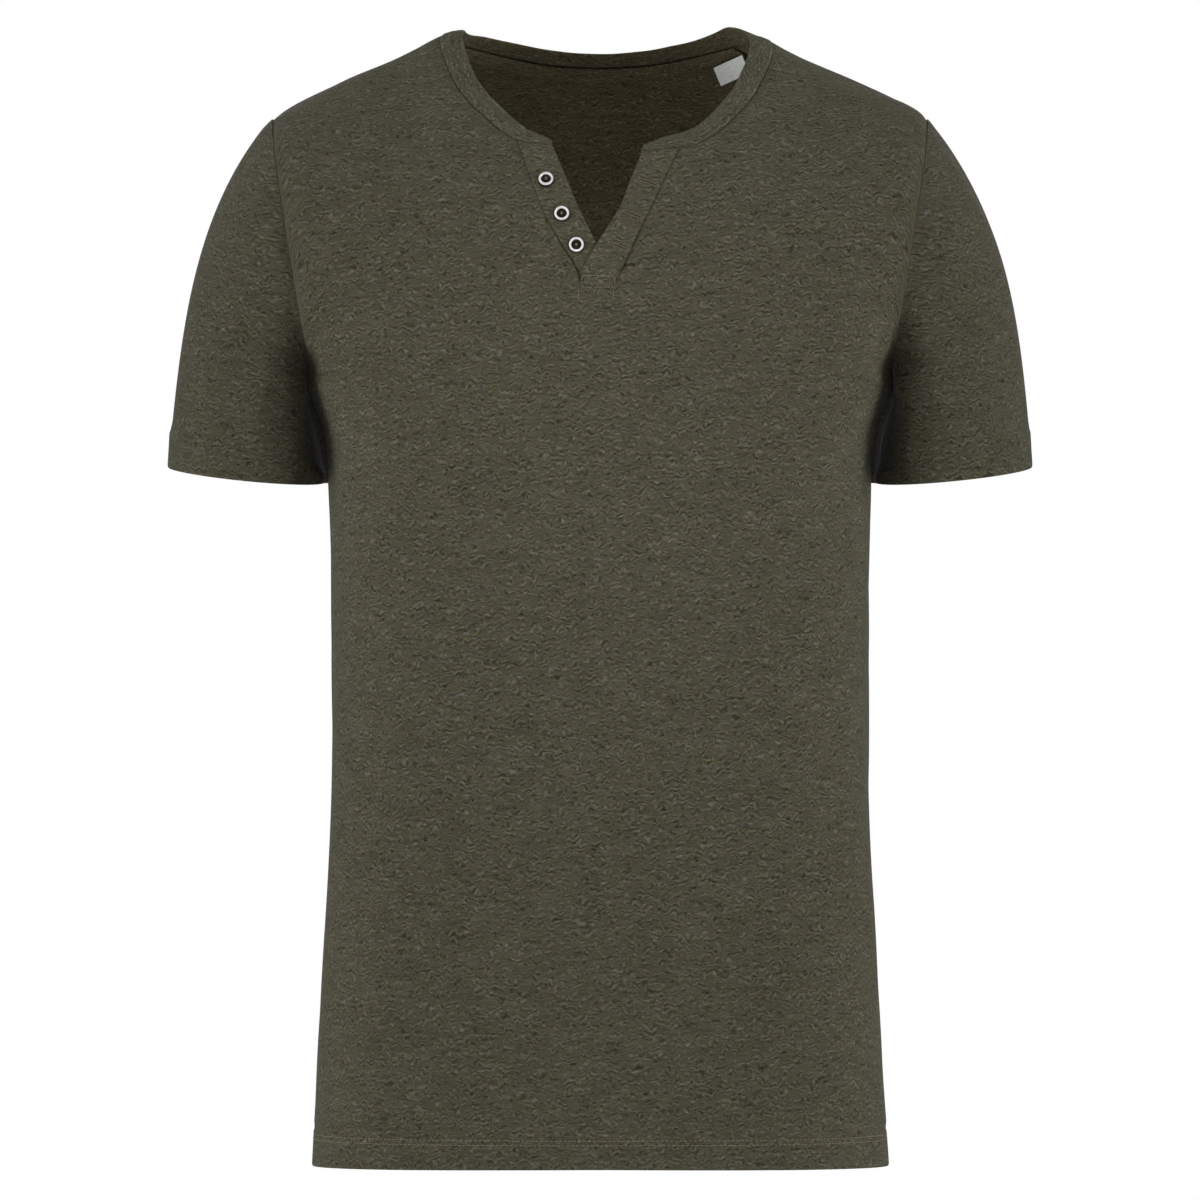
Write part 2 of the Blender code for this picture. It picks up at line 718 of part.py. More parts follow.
def make_shirt():
    jersey = make_material("Olive heather jersey", OLIVE, 0.92)
    inner = make_material("Olive tape", OLIVE_INSIDE, 0.92)
    label = make_material("Pale label", PALE_LABEL, 0.8)
    pearl = make_material("Pearl button", PEARL, 0.3)

    front_right, front_left = front_half(WEARERS_RIGHT), front_half(WEARERS_LEFT)
    back_right, back_left = back_half(WEARERS_RIGHT), back_half(WEARERS_LEFT)
    below_armhole = len(side_heights())
    to_slit = below_armhole + FRONT_STEPS_BELOW_SLIT
    to_neck = below_armhole + BACK_STEPS_BELOW_NECK
    make_panel("front", front_right, front_left, to_slit, jersey)
    make_panel("back", back_right, back_left, to_neck, jersey)
    make_sleeve("sleeve_left", WEARERS_LEFT, front_left, back_left, jersey)
    make_sleeve("sleeve_right", WEARERS_RIGHT, front_right, back_right, jersey)
    make_neckband(jersey)
    make_placket("placket_over", WEARERS_LEFT, OVER_LIFT, jersey)
    make_placket("placket_under", WEARERS_RIGHT, -UNDER_SINK, jersey)
    make_tape(inner)
    make_label(label)
    for number, (x, z) in enumerate(BUTTONS, start=1):
        make_button(number, x, z, pearl)


clear_scene()
shirt = make_collection("Henley shirt")
make_shirt()
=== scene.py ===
"""A henley shirt's cloth, sewing, buttons and studio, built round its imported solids.

Metres, +Z up. The front faces -Y and the wearer's left is +X. The trunk form and the courses of the
seams are those of the solids, so each cloth shell lies where its solid does.
"""

import math
from collections import namedtuple

import bmesh
import bpy
import numpy as np
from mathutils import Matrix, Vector
from mathutils.kdtree import KDTree


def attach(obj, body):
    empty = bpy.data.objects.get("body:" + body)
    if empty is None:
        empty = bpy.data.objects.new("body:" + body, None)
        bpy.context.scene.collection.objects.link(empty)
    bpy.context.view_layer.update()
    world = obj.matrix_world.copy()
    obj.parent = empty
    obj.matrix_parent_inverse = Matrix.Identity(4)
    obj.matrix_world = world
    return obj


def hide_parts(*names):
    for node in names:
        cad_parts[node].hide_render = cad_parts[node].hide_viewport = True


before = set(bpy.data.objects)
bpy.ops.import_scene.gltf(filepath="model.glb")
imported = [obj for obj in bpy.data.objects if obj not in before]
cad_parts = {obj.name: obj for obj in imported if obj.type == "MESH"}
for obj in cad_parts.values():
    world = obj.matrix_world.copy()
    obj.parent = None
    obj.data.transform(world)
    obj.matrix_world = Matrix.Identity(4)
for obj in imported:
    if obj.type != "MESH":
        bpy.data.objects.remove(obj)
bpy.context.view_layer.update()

bl_info = {
    "name": "Henley shirt",
    "version": (1, 0, 0),
    "blender": (4, 5, 0),
    "location": "3D View > Sidebar > Henley",
    "description": "Makes a henley shirt's cloth, sewing and buttons, and a studio for it",
    "category": "Add Mesh",
}

BODY = "root"

FRONT, BACK = -1, 1
WEARERS_LEFT, WEARERS_RIGHT = 1, -1


def listed(kind, *values):
    return tuple(kind(*row) for row in values)


# ---- The form that the solids and the cloth share -------------------------------------------------

SEAM_GAP = 0.00004
HEM_SIDE_Z, HEM_CENTRE_RISE = -0.7170, 0.0025
HEM_DEPTH, SLEEVE_HEM_DEPTH, SLEEVE_LENGTH = 0.0220, 0.0180, 0.2000
UNDERARM_Z, SLIT_Z = -0.2200, -0.1645
SHOULDER_Z = -0.0570
BACK_NECK_Z = -0.0198
ROUNDNESS = 2.4
ARMHOLE_HALF_DEPTH = 0.067
ARMHOLE_MIDDLE = (SHOULDER_Z + UNDERARM_Z) / 2
ARMHOLE_HALF_HEIGHT = ARMHOLE_MIDDLE - UNDERARM_Z

# Half width of the trunk at the side seams, and its depth before and behind them.
Section = namedtuple("Section", "z half_width front back")
TRUNK = listed(
    Section,
    (-0.730, 0.1818, 0.1145, 0.1120), (-0.660, 0.1785, 0.1130, 0.1130), (-0.580, 0.1741, 0.1095, 0.1085),
    (-0.500, 0.1700, 0.1070, 0.0985), (-0.430, 0.1687, 0.1080, 0.0945), (-0.360, 0.1687, 0.1145, 0.1010),
    (-0.300, 0.1699, 0.1215, 0.1120), (-0.254, 0.1738, 0.1245, 0.1185), (-0.220, 0.1860, 0.1240, 0.1210),
    (-0.160, 0.1860, 0.1170, 0.1215), (-0.100, 0.1860, 0.1090, 0.1180), (-0.050, 0.1860, 0.1040, 0.1120),
    (0.010, 0.1860, 0.1000, 0.1080),
)
# The armhole seen from the front: how far out it lies at each height.
ArmholePoint = namedtuple("ArmholePoint", "z x")
ARMHOLE = listed(
    ArmholePoint,
    (-0.2200, 0.1860), (-0.2110, 0.1842), (-0.1916, 0.1862), (-0.1600, 0.1915), (-0.1350, 0.1957),
    (-0.1120, 0.1992), (-0.0830, 0.2035), (-0.0570, 0.2060), (0.0100, 0.2060),
)
# The shoulder ridge, where front and back meet. Inside the neck it only guides the form.
SeamPoint = namedtuple("SeamPoint", "x z")
RIDGE = listed(
    SeamPoint,
    (0.000, 0.0060), (0.060, 0.0045), (0.085, 0.0010), (0.100, -0.0037), (0.108, -0.0075),
    (0.117, -0.0126), (0.130, -0.0190), (0.160, -0.0317), (0.187, -0.0443), (0.199, -0.0512),
    (0.206, -0.0570), (0.226, -0.0760),
)
# How the cloth rounds off below the ridge: over what height, and how sharply near its top.
Rounding = namedtuple("Rounding", "x front_height front_power back_height back_power")
ROUNDINGS = listed(
    Rounding,
    (0.000, 0.130, 1.40, 0.080, 1.80), (0.104, 0.125, 1.45, 0.085, 1.80),
    (0.160, 0.098, 1.72, 0.083, 1.88), (0.206, 0.075, 2.00, 0.075, 2.00),
    (0.226, 0.070, 2.00, 0.070, 2.00),
)
# The neck seam of the front, from the placket strip up to the shoulder. It isn't quite even.
FRONT_NECK = {
    WEARERS_RIGHT: listed(
        SeamPoint,
        (0.0519, -0.0738), (0.0620, -0.0672), (0.0725, -0.0580), (0.0820, -0.0490), (0.0905, -0.0375),
        (0.0965, -0.0250), (0.1000, -0.0150), (0.1010, -0.0075),
    ),
    WEARERS_LEFT: listed(
        SeamPoint,
        (0.0502, -0.0778), (0.0620, -0.0750), (0.0745, -0.0675), (0.0860, -0.0567), (0.0965, -0.0442),
        (0.1030, -0.0319), (0.1070, -0.0235), (0.1092, -0.0140),
    ),
}
NECK_POINT_X = {WEARERS_RIGHT: 0.1000, WEARERS_LEFT: 0.1085}
# The neck seam of the back, from the centre out towards the shoulder.
BACK_NECK = listed(
    SeamPoint,
    (0.0100, BACK_NECK_Z), (0.0340, -0.0182), (0.0560, -0.0144), (0.0730, -0.0108), (0.0865, -0.0079),
    (0.0945, -0.0065),
)
NECK_TURN_SHARE, NECK_TURN_DROP = 0.76, 0.0018
# The placket strips, from the bottom of the slit up: where each is sewn to the front, and its free
# edge. The strip on the wearer's right holds the buttons and lies under the other.
StripRow = namedtuple("StripRow", "seam_x seam_z free_x free_z")
STRIPS = {
    WEARERS_RIGHT: listed(
        StripRow,
        (-0.0118, -0.1645, 0.0080, -0.1645), (-0.0157, -0.1530, 0.0045, -0.1530),
        (-0.0255, -0.1375, -0.0025, -0.1375), (-0.0367, -0.1150, -0.0136, -0.1150),
        (-0.0447, -0.0940, -0.0222, -0.0940), (-0.0519, -0.0738, -0.0294, -0.0768),
    ),
    WEARERS_LEFT: listed(
        StripRow,
        (0.0087, -0.1645, -0.0112, -0.1645), (0.0144, -0.1530, -0.0101, -0.1530),
        (0.0213, -0.1375, -0.0013, -0.1375), (0.0324, -0.1150, 0.0123, -0.1150),
        (0.0421, -0.0940, 0.0205, -0.0940), (0.0502, -0.0778, 0.0262, -0.0805),
    ),
}
STRIP_WALL, STRIP_WIDTH, STRIP_SIDE_GAP = 0.0011, 0.0225, 0.0004
OVERLAP_Z, SIDE_BY_SIDE_Z = -0.1375, -0.1150
OVER_LIFT, UNDER_SINK = 0.00055, 0.00075

BAND_WIDTH = 0.0150
BAND_SLOPE, BAND_SHOULDER_SLOPE = 0.62, 0.24
BAND_SEAM_GAP, BAND_BACK_GAP = 0.0008, 0.0001
# From the band's seam edge to its top edge at the V's corners.
BAND_ENDS = {
    WEARERS_RIGHT: np.array((0.0008, 0.0024, 0.0030)),
    WEARERS_LEFT: np.array((0.0006, 0.0022, 0.0036)),
}
BAND_END_LENGTH = 0.0225
# The band's top edge isn't quite even: how high its ripples are, and how long.
RIPPLE, RIPPLE_SHORT, RIPPLE_LONG = 0.0002, 0.0065, 0.019
# Where the band stands up behind the wearer's left shoulder seam.
PEAK_HAND, PEAK_BEHIND, PEAK_REACH, PEAK_HEIGHT = WEARERS_LEFT, 0.026, 0.018, 0.0055

CUFF_CENTRE = np.array((0.2235, 0.0, -0.2810))
CUFF_HALF_WIDTH, CUFF_HALF_DEPTH = 0.0485, 0.0670
CUFF_OUTER_RISE, CUFF_FRONT_DROP, CUFF_BACK_DROP = 0.0050, 0.0045, 0.0010
CUFF_TUCK, LEAVE_TUCK = 0.0185, 0.0150
# The share of its solid's stand-off that a sleeve's cloth keeps, so that its seam is closed.
SLEEVE_OFF_SHARE = 0.20
# The sleeve's head dips below the shoulder's end.
HEAD_DIP, HEAD_REACH = 0.0008, 0.012
# Beside the armhole seam the cloth spans the valley between the trunk and the sleeve: how far it
# is lifted at the seam, and how fast that fades to each side.
Span = namedtuple("Span", "z lift reach")
SPANS = listed(
    Span,
    (-0.2140, 0.0000, 0.010), (-0.2050, 0.0050, 0.011), (-0.1960, 0.0110, 0.013),
    (-0.1850, 0.0128, 0.015), (-0.1720, 0.0108, 0.016), (-0.1560, 0.0078, 0.016),
    (-0.1380, 0.0052, 0.014), (-0.1160, 0.0036, 0.013), (-0.0900, 0.0018, 0.012),
    (-0.0650, 0.0000, 0.012),
)
SleeveSide = namedtuple("SleeveSide", "leave arrive stand_off")
SLEEVE_SIDES = {
    "top": SleeveSide((0.046, 0.0, -0.041), (0.004, 0.0, -0.081), (0.0005, 0.0, -0.0003)),
    "front": SleeveSide((0.019, -0.004, -0.052), (0.000, 0.0, -0.050), (0.0011, 0.0, -0.0002)),
    "under": SleeveSide((0.001, 0.0, -0.020), (-0.002, 0.0, -0.024), (0.0021, 0.0, 0.0002)),
    "back": SleeveSide((0.019, 0.006, -0.052), (0.000, 0.0, -0.050), (0.0013, 0.0, -0.0002)),
}

# Soft folds that run out from the armpit, on both sides: where each starts, its heading from
# straight across, its length, its width and its height.
Fold = namedtuple("Fold", "side x z heading length width height")
FOLDS = listed(
    Fold,
    (FRONT, 0.176, -0.208, 148, 0.080, 0.011, 0.0022), (FRONT, 0.170, -0.240, 204, 0.070, 0.012, 0.0020),
    (BACK, 0.176, -0.206, 146, 0.100, 0.013, 0.0030), (BACK, 0.168, -0.244, 208, 0.090, 0.014, 0.0026),
)

TAPE_START, TAPE_WIDTH, TAPE_STAND_OFF = -0.0014, 0.0130, 0.0024
LABEL_TOP = listed(SeamPoint, (0.0730, -0.0172), (0.0916, -0.0098))
LABEL_HANG = np.array((0.0045, -0.0010, -0.0117))
LABEL_STAND_OFF, LABEL_LENGTH = 0.0044, 0.0126

BUTTONS = ((-0.0336, -0.0983), (-0.0238, -0.1198), (-0.0147, -0.1390))

# ---- Creases, hems and sewing ---------------------------------------------------------------------

# Creases too fine for the solids. A hand of 0 puts one on both sides. A positive height is a ridge,
# a negative one a trough, and bow bends it sideways.
Crease = namedtuple("Crease", "side hand x z heading length width height bow")
CREASES = listed(
    Crease,
    # Short gathers that run down from the front armhole to the underarm.
    (FRONT, -1, 0.192, -0.178, 250, 0.034, 0.0026, -0.0013, 0.10),
    (FRONT, -1, 0.186, -0.182, 244, 0.032, 0.0028, 0.0010, 0.12),
    (FRONT, -1, 0.181, -0.190, 238, 0.030, 0.0030, -0.0010, 0.08),
    (FRONT, 1, 0.191, -0.180, 252, 0.030, 0.0026, -0.0012, -0.08),
    (FRONT, 1, 0.185, -0.185, 241, 0.034, 0.0029, 0.0011, 0.10),
    (FRONT, 1, 0.179, -0.193, 235, 0.027, 0.0028, -0.0009, 0.06),
    # Long soft drags from the armpit across the chest and down the side.
    (FRONT, -1, 0.178, -0.214, 160, 0.090, 0.0075, -0.0011, 0.10),
    (FRONT, -1, 0.172, -0.232, 196, 0.075, 0.0080, -0.0010, -0.08),
    (FRONT, -1, 0.169, -0.262, 226, 0.090, 0.0085, -0.0009, -0.10),
    (FRONT, 1, 0.180, -0.216, 164, 0.078, 0.0070, -0.0010, 0.08),
    (FRONT, 1, 0.173, -0.236, 200, 0.088, 0.0085, -0.0011, -0.10),
    (FRONT, 1, 0.170, -0.270, 232, 0.080, 0.0080, -0.0008, -0.06),
    # Faint falls below the shoulder points and beside the placket.
    (FRONT, -1, 0.168, -0.060, 262, 0.110, 0.0120, -0.0009, 0.05),
    (FRONT, 1, 0.172, -0.064, 266, 0.095, 0.0110, -0.0008, -0.05),
    (FRONT, -1, 0.062, -0.084, 250, 0.085, 0.0100, 0.0006, 0.08),
    (FRONT, 1, 0.058, -0.090, 238, 0.080, 0.0110, 0.0006, -0.08),
    (FRONT, 1, 0.014, -0.170, 264, 0.120, 0.0130, 0.0007, 0.06),
    # The waist, where the sides come in, and the fall down to the hem.
    (FRONT, -1, 0.167, -0.395, 184, 0.085, 0.0120, -0.0008, -0.06),
    (FRONT, 1, 0.167, -0.425, 176, 0.095, 0.0130, -0.0009, 0.07),
    (FRONT, -1, 0.120, -0.520, 276, 0.170, 0.0160, 0.0011, 0.05),
    (FRONT, 1, 0.105, -0.545, 268, 0.150, 0.0150, 0.0010, -0.06),
    (FRONT, -1, 0.040, -0.570, 272, 0.130, 0.0150, -0.0008, 0.04),
    # The back: gathers at the armholes, the shoulder blades' drags, the hollow of the waist.
    (BACK, -1, 0.190, -0.176, 248, 0.036, 0.0028, -0.0013, 0.10),
    (BACK, -1, 0.183, -0.184, 240, 0.034, 0.0030, 0.0011, 0.10),
    (BACK, 1, 0.190, -0.180, 250, 0.032, 0.0027, -0.0012, -0.10),
    (BACK, 1, 0.183, -0.188, 238, 0.030, 0.0030, 0.0010, 0.08),
    (BACK, -1, 0.178, -0.212, 158, 0.120, 0.0085, -0.0014, 0.10),
    (BACK, 1, 0.180, -0.214, 162, 0.105, 0.0080, -0.0013, 0.10),
    (BACK, -1, 0.171, -0.240, 200, 0.110, 0.0095, -0.0014, -0.10),
    (BACK, 1, 0.172, -0.246, 204, 0.125, 0.0100, -0.0013, -0.10),
    (BACK, 0, 0.150, -0.300, 216, 0.120, 0.0110, 0.0010, -0.08),
    (BACK, -1, 0.164, -0.385, 186, 0.130, 0.0110, -0.0015, -0.08),
    (BACK, 1, 0.165, -0.400, 182, 0.145, 0.0120, -0.0015, 0.06),
    (BACK, -1, 0.160, -0.430, 172, 0.120, 0.0120, 0.0012, 0.06),
    (BACK, 1, 0.161, -0.452, 178, 0.110, 0.0120, 0.0011, -0.06),
    (BACK, 0, 0.168, -0.480, 170, 0.100, 0.0110, -0.0010, 0.08),
    (BACK, -1, 0.100, -0.540, 274, 0.160, 0.0160, 0.0012, 0.05),
    (BACK, 1, 0.088, -0.555, 264, 0.150, 0.0150, 0.0011, -0.05),
    (BACK, 0, 0.150, -0.060, 258, 0.110, 0.0130, -0.0010, 0.05),
)

# Creases of a sleeve: the turn round it (0 the top, 90 the front, 180 the underarm), the share of
# the way down, both where it starts and where it ends, its width and its height.
SleeveCrease = namedtuple("SleeveCrease", "turn share end_turn end_share width height")
SLEEVE_CREASES = {
    WEARERS_RIGHT: listed(
        SleeveCrease,
        (152, 0.04, 136, 1.00, 0.0110, -0.0030), (112, 0.16, 70, 0.62, 0.0060, -0.0013),
        (128, 0.26, 96, 0.84, 0.0070, -0.0013), (92, 0.05, 44, 0.34, 0.0060, -0.0009),
        (148, 0.20, 122, 0.70, 0.0050, 0.0010), (30, 0.03, 16, 0.40, 0.0080, 0.0010),
        (-22, 0.04, -34, 0.44, 0.0090, 0.0010), (-110, 0.14, -64, 0.58, 0.0065, -0.0014),
        (-128, 0.28, -92, 0.86, 0.0070, -0.0012),
    ),
    WEARERS_LEFT: listed(
        SleeveCrease,
        (150, 0.05, 134, 1.00, 0.0115, -0.0030), (110, 0.18, 74, 0.56, 0.0060, -0.0012),
        (130, 0.30, 92, 0.80, 0.0068, -0.0013), (88, 0.06, 50, 0.30, 0.0065, -0.0009),
        (150, 0.24, 126, 0.66, 0.0050, 0.0009), (22, 0.04, 12, 0.46, 0.0085, 0.0010),
        (-30, 0.05, -40, 0.38, 0.0085, 0.0009), (-106, 0.16, -70, 0.64, 0.0065, -0.0013),
        (-132, 0.26, -98, 0.78, 0.0070, -0.0012),
    ),
}

# Slow waves that keep wide stretches of cloth from lying dead flat: wave lengths, phase, height.
Wave = namedtuple("Wave", "across up phase height")
WAVES = listed(
    Wave,
    (0.165, 0.410, 0.4, 0.00050), (-0.120, 0.230, 1.9, 0.00040), (0.071, -0.310, 3.1, 0.00025),
    (0.052, 0.120, 5.0, 0.00012),
)

HEM_FLARE, HEM_GROOVE, HEM_PUCKER, PUCKER = -0.0004, 0.0004, 0.00015, 0.0016
# How far from a sewn edge the creases die out.
CREASE_HOLD = 0.0035
HEM_STITCHES = (0.0172, 0.0203)
SLEEVE_STITCHES = (0.0136, 0.0167)
# How deep the side, shoulder and armhole seams dip against the neck's and the slit's.
FINE_SEAM_SHARE, BACK_NECK_SHARE = 0.10, 0.08
# The share of a seam's dip that the neck and slit take on the wearer's right and left, and where
# it fades out down the slit, and to what share.
NECK_SHARES, SEAM_FADES, FADED_SHARE = (0.50, 0.70), (-0.139, -0.160), 0.10
# A closed slit's stitched box on the over strip, and the buttonholes: middle and heading.
BOX_WIDTH, BOX_TOP_Z, BOX_BOTTOM_Z, BOX_X, BOX_CORNER = 0.0208, -0.1586, -0.1656, -0.0012, 0.0018
BOX_LIFT, BOX_THREAD = 0.00012, 0.00058
# Faint ends of the sewing below the box: where they lie, and from where to where they run.
BOX_TAILS, BOX_TAIL_ENDS = (-0.0133, 0.0082), (-0.1672, -0.1738)
ButtonHole = namedtuple("ButtonHole", "x z heading")
BUTTON_HOLES = listed(
    ButtonHole,
    (0.0303, -0.1001, -21), (0.0206, -0.1203, -20), (0.0114, -0.1402, -22),
)
HOLE_LENGTH, HOLE_WIDTH = 0.0130, 0.0022
# Its stitches: how many to a side, slant and radius; how far they reach at the ends of the hole
# and more in its middle, and where they start, as shares.
HOLE_STITCHES, HOLE_SLANT, HOLE_THREAD = 30, 0.00015, 0.00018
HOLE_REACH, HOLE_BULGE, HOLE_START = 0.24, 0.28, 0.30
# The bars at its ends: the step between their stitches, half width as a share, and radius.
BAR_STEP, BAR_HALF_WIDTH, BAR_THREAD = 0.00034, 0.34, 0.00020
# The painted shadow in the cut between its rows: its reach and width as shares, its rise, fall and wall.
CUT_REACH, CUT_WIDTH, CUT_RISE, CUT_FALL, CUT_WALL = 0.47, 0.16, 0.00010, -0.00005, 0.0002
# Loose thread ends at the over strip's top corner: where each starts and how far it goes.
FrayedEnd = namedtuple("FrayedEnd", "x z across up")
FRAYED_ENDS = listed(
    FrayedEnd,
    (0.0268, -0.0812, -0.0014, 0.0021), (0.0266, -0.0822, -0.0021, 0.0006),
    (0.0262, -0.0830, -0.0008, -0.0016), (0.0272, -0.0818, 0.0012, -0.0013),
)
FRAY_LIFT, FRAY_RADIUS = 0.0004, 0.00026

# ---- Fineness -------------------------------------------------------------------------------------

COLUMNS = 52
STRIP_COLUMNS = 5
ROW_STEP = 0.0046
SLEEVE_COLUMNS = 120
SLEEVE_ROWS = 44
EDGE_SHARES = (0.0030, 0.0075, 0.0140)
HEM_ROWS = (0.0, 0.0004, 0.0011, 0.0025, 0.0060, 0.0110, 0.0152, 0.0172, 0.0188, 0.0203)
RIDGE_FOLLOWED = (0.03, 0.14)
RIDGE_PASSES = 12
SLOPE_STEP = 0.0005
ARC_SAMPLES = 24
BAND_STEP = 0.0028
STITCH_SIDES = 6
# Along a stitch: the share of its way, and its middle's lift and its girth in radii.
STITCH_PROFILE = (
    (0.0, -0.8, 0.35), (0.16, 0.25, 0.85), (0.5, 0.5, 1.0), (0.84, 0.25, 0.85), (1.0, -0.8, 0.35),
)
# Edges sharper than these, in degrees, stay sharp on the cloth and on the sewing.
CLOTH_EDGE, SEWING_EDGE = 50, 60

# The cut across a doubled strip: how far across, and how high over its middle.
CutPoint = namedtuple("CutPoint", "across level")
BAND_CUT = listed(
    CutPoint,
    (0.000, 0.00030), (0.035, 0.00085), (0.140, 0.00150), (0.450, 0.00185), (0.760, 0.00150),
    (0.930, 0.00100), (0.985, 0.00045), (1.000, -0.00010), (0.980, -0.00070), (0.900, -0.00105),
    (0.500, -0.00100), (0.240, -0.00088), (0.020, -0.00085), (0.000, -0.00040),
)
STRIP_CUT = listed(
    CutPoint,
    (0.000, 0.00000), (0.012, 0.00022), (0.045, 0.00040), (0.110, 0.00052), (0.500, 0.00055),
    (0.900, 0.00053), (0.970, 0.00040), (1.000, 0.00000), (0.970, -0.00040), (0.900, -0.00053),
    (0.500, -0.00055), (0.090, -0.00050), (0.012, -0.00022),
)
STRIP_FACE = 0.00055
TAPE_CUT = listed(
    CutPoint,
    (0.00, 0.00000), (0.03, 0.00038), (0.12, 0.00048), (0.50, 0.00050), (0.88, 0.00048), (0.97, 0.00038),
    (1.00, 0.00000), (0.97, -0.00038), (0.50, -0.00050), (0.03, -0.00038),
)
TAPE_FACE = 0.00050
LABEL_CUT = listed(
    CutPoint,
    (0.00, 0.00000), (0.01, 0.00022), (0.05, 0.00030), (0.30, 0.00025), (0.50, 0.00025), (0.70, 0.00025),
    (0.95, 0.00030), (0.99, 0.00022), (1.00, 0.00000), (0.99, -0.00022), (0.50, -0.00025),
    (0.01, -0.00022),
)


# ---- What a user would change ---------------------------------------------------------------------


def measure(name, description, default, low, high, kind="DISTANCE", unit="LENGTH"):
    return bpy.props.FloatProperty(
        name=name, description=description, default=default, min=low, max=high,
        subtype=kind, unit=unit,
    )


def light_power(name, description, default, high=400.0):
    return measure(name, "Power of " + description, default, 0.0, high, "POWER", "POWER")


def colour(name, description, default):
    return bpy.props.FloatVectorProperty(
        name=name, description=description, default=default,
        size=3, min=0.0, max=1.0, subtype="COLOR",
    )


class HenleyCloth(bpy.types.PropertyGroup):
    """Sizes of the cloth and its sewing."""

    wall: measure("Cloth", "Thickness of one layer of jersey", 0.0009, 0.0004, 0.0016)
    hem_wall: measure("Hem", "Thickness where a hem turns the jersey back", 0.0018, 0.0008, 0.0024)
    seam_depth: measure("Seam depth", "How far the cloth dips into a seam", 0.0009, 0.0, 0.0015)
    seam_width: measure("Seam width", "How wide the dip beside a seam is", 0.0018, 0.0005, 0.006)
    crease_strength: measure(
        "Creases", "Height of the fine creases against their own sizes", 1.5, 0.0, 2.5, "FACTOR", "NONE"
    )
    stitch_length: measure("Stitch", "Length of a stitch and its gap", 0.0030, 0.0015, 0.006)
    thread: measure("Thread", "Thickness of the sewing thread", 0.00042, 0.0002, 0.001)


class HenleyColours(bpy.types.PropertyGroup):
    """Colours of the cloth, the threads, the label and the buttons."""

    jersey: colour("Jersey", "Ground colour of the heather jersey", (0.0785, 0.0732, 0.0462))
    fleck_light: colour("Light flecks", "Pale fibres in the jersey", (0.1860, 0.1800, 0.1350))
    fleck_dark: colour("Dark flecks", "Dark fibres in the jersey", (0.0230, 0.0210, 0.0100))
    thread: colour("Thread", "Thread of the hems and seams", (0.2900, 0.2650, 0.1700))
    hole_thread: colour("Buttonhole thread", "Tan thread of the buttonholes", (0.235, 0.200, 0.120))
    label: colour("Label", "Ground colour of the bare label", (0.98, 1.00, 0.96))
    button: colour("Button rim", "Pearl rim of the buttons", (0.97, 0.97, 0.95))
    # Also colours each button's foot, a thin painted shadow round the rim.
    button_well_and_painted_shadow: colour("Button well", "Dark well of the buttons", (0.016, 0.013, 0.010))
    floor: colour("Floor", "Pale studio floor", (0.86, 0.86, 0.86))


class HenleyStudio(bpy.types.PropertyGroup):
    """The camera and the light."""

    distance: measure("Camera distance", "From the camera to the middle of the shirt", 7.0, 2.0, 12.0)
    frame_width: measure("Frame width", "Width that the camera takes in at the shirt", 0.7584, 0.4, 3.0)
    height: measure(
        "Camera height", "Height of the camera against the neckband's top", -0.36, -1.2, 1.0
    )
    front_light: light_power("Front light", "the narrow soft box that lights the chest", 0.07)
    side_light: light_power("Side lights", "each soft box before and beside the shirt", 74.0)
    back_light: light_power("Back light", "the soft box behind the shirt", 70.0)
    top_light: light_power("Top light", "the soft box over the shirt", 43.0)
    neck_light: light_power("Neck light", "the small soft box inside, under the neck", 0.11, 2.0)
    sky: measure("Sky", "Strength of the faint light from all round", 0.03, 0.0, 2.0, "NONE", "NONE")


def cloth_sizes():
    return bpy.context.scene.henley_cloth


def cloth_colours():
    return bpy.context.scene.henley_colours


# ---- The trunk form -------------------------------------------------------------------------------


def mix(a, b, share):
    return a + (b - a) * share


def eased(low, high, at):
    """0 at low, 1 at high, level at both."""
    t = np.clip((at - low) / (high - low), 0.0, 1.0)
    return t * t * (3 - 2 * t)


def bell(distance, width):
    """1 at no distance, falling off over this width to both sides."""
    return np.exp(-((distance / width) ** 2))


def cubic(start, end, leaving, reaching, t):
    """From start to end as t goes from 0 to 1, with these slopes at both ends."""
    return (
        start * (1 + 2 * t) * (1 - t) ** 2
        + leaving * t * (1 - t) ** 2
        + end * t * t * (3 - 2 * t)
        + reaching * t * t * (t - 1)
    )


def smooth(table, key, column, at):
    """The table's column at these values of its key, on a cubic through its rows."""
    keys = np.array([getattr(row, key) for row in table])
    values = np.array([getattr(row, column) for row in table])
    last = len(keys) - 1
    low = np.maximum(np.arange(last + 1) - 1, 0)
    high = np.minimum(np.arange(last + 1) + 1, last)
    slopes = (values[high] - values[low]) / (keys[high] - keys[low])
    at = np.clip(at, keys[0], keys[-1])
    i = np.clip(np.searchsorted(keys, at) - 1, 0, last - 1)
    step = keys[i + 1] - keys[i]
    t = (at - keys[i]) / step
    return cubic(values[i], values[i + 1], slopes[i] * step, slopes[i + 1] * step, t)


def side_name(side):
    return "front" if side == FRONT else "back"


def armhole_x(z):
    return smooth(ARMHOLE, "z", "x", z)


def section_depth(z, side):
    return smooth(TRUNK, "z", side_name(side), z)


def section_half_width(z, side):
    """Where the section would close. Above the underarm it lies in the sleeve, past the armhole."""
    below = np.minimum((z - ARMHOLE_MIDDLE) / ARMHOLE_HALF_HEIGHT, 0.0)
    share = ARMHOLE_HALF_DEPTH * np.sqrt(np.maximum(1 - below * below, 0.0)) / section_depth(z, side)
    armhole = armhole_x(z) / (1 - share**ROUNDNESS) ** (1 / ROUNDNESS)
    return np.where(z <= UNDERARM_Z, smooth(TRUNK, "z", "half_width", z), armhole)


def ridge_z(x):
    return smooth(RIDGE, "x", "z", np.abs(x))


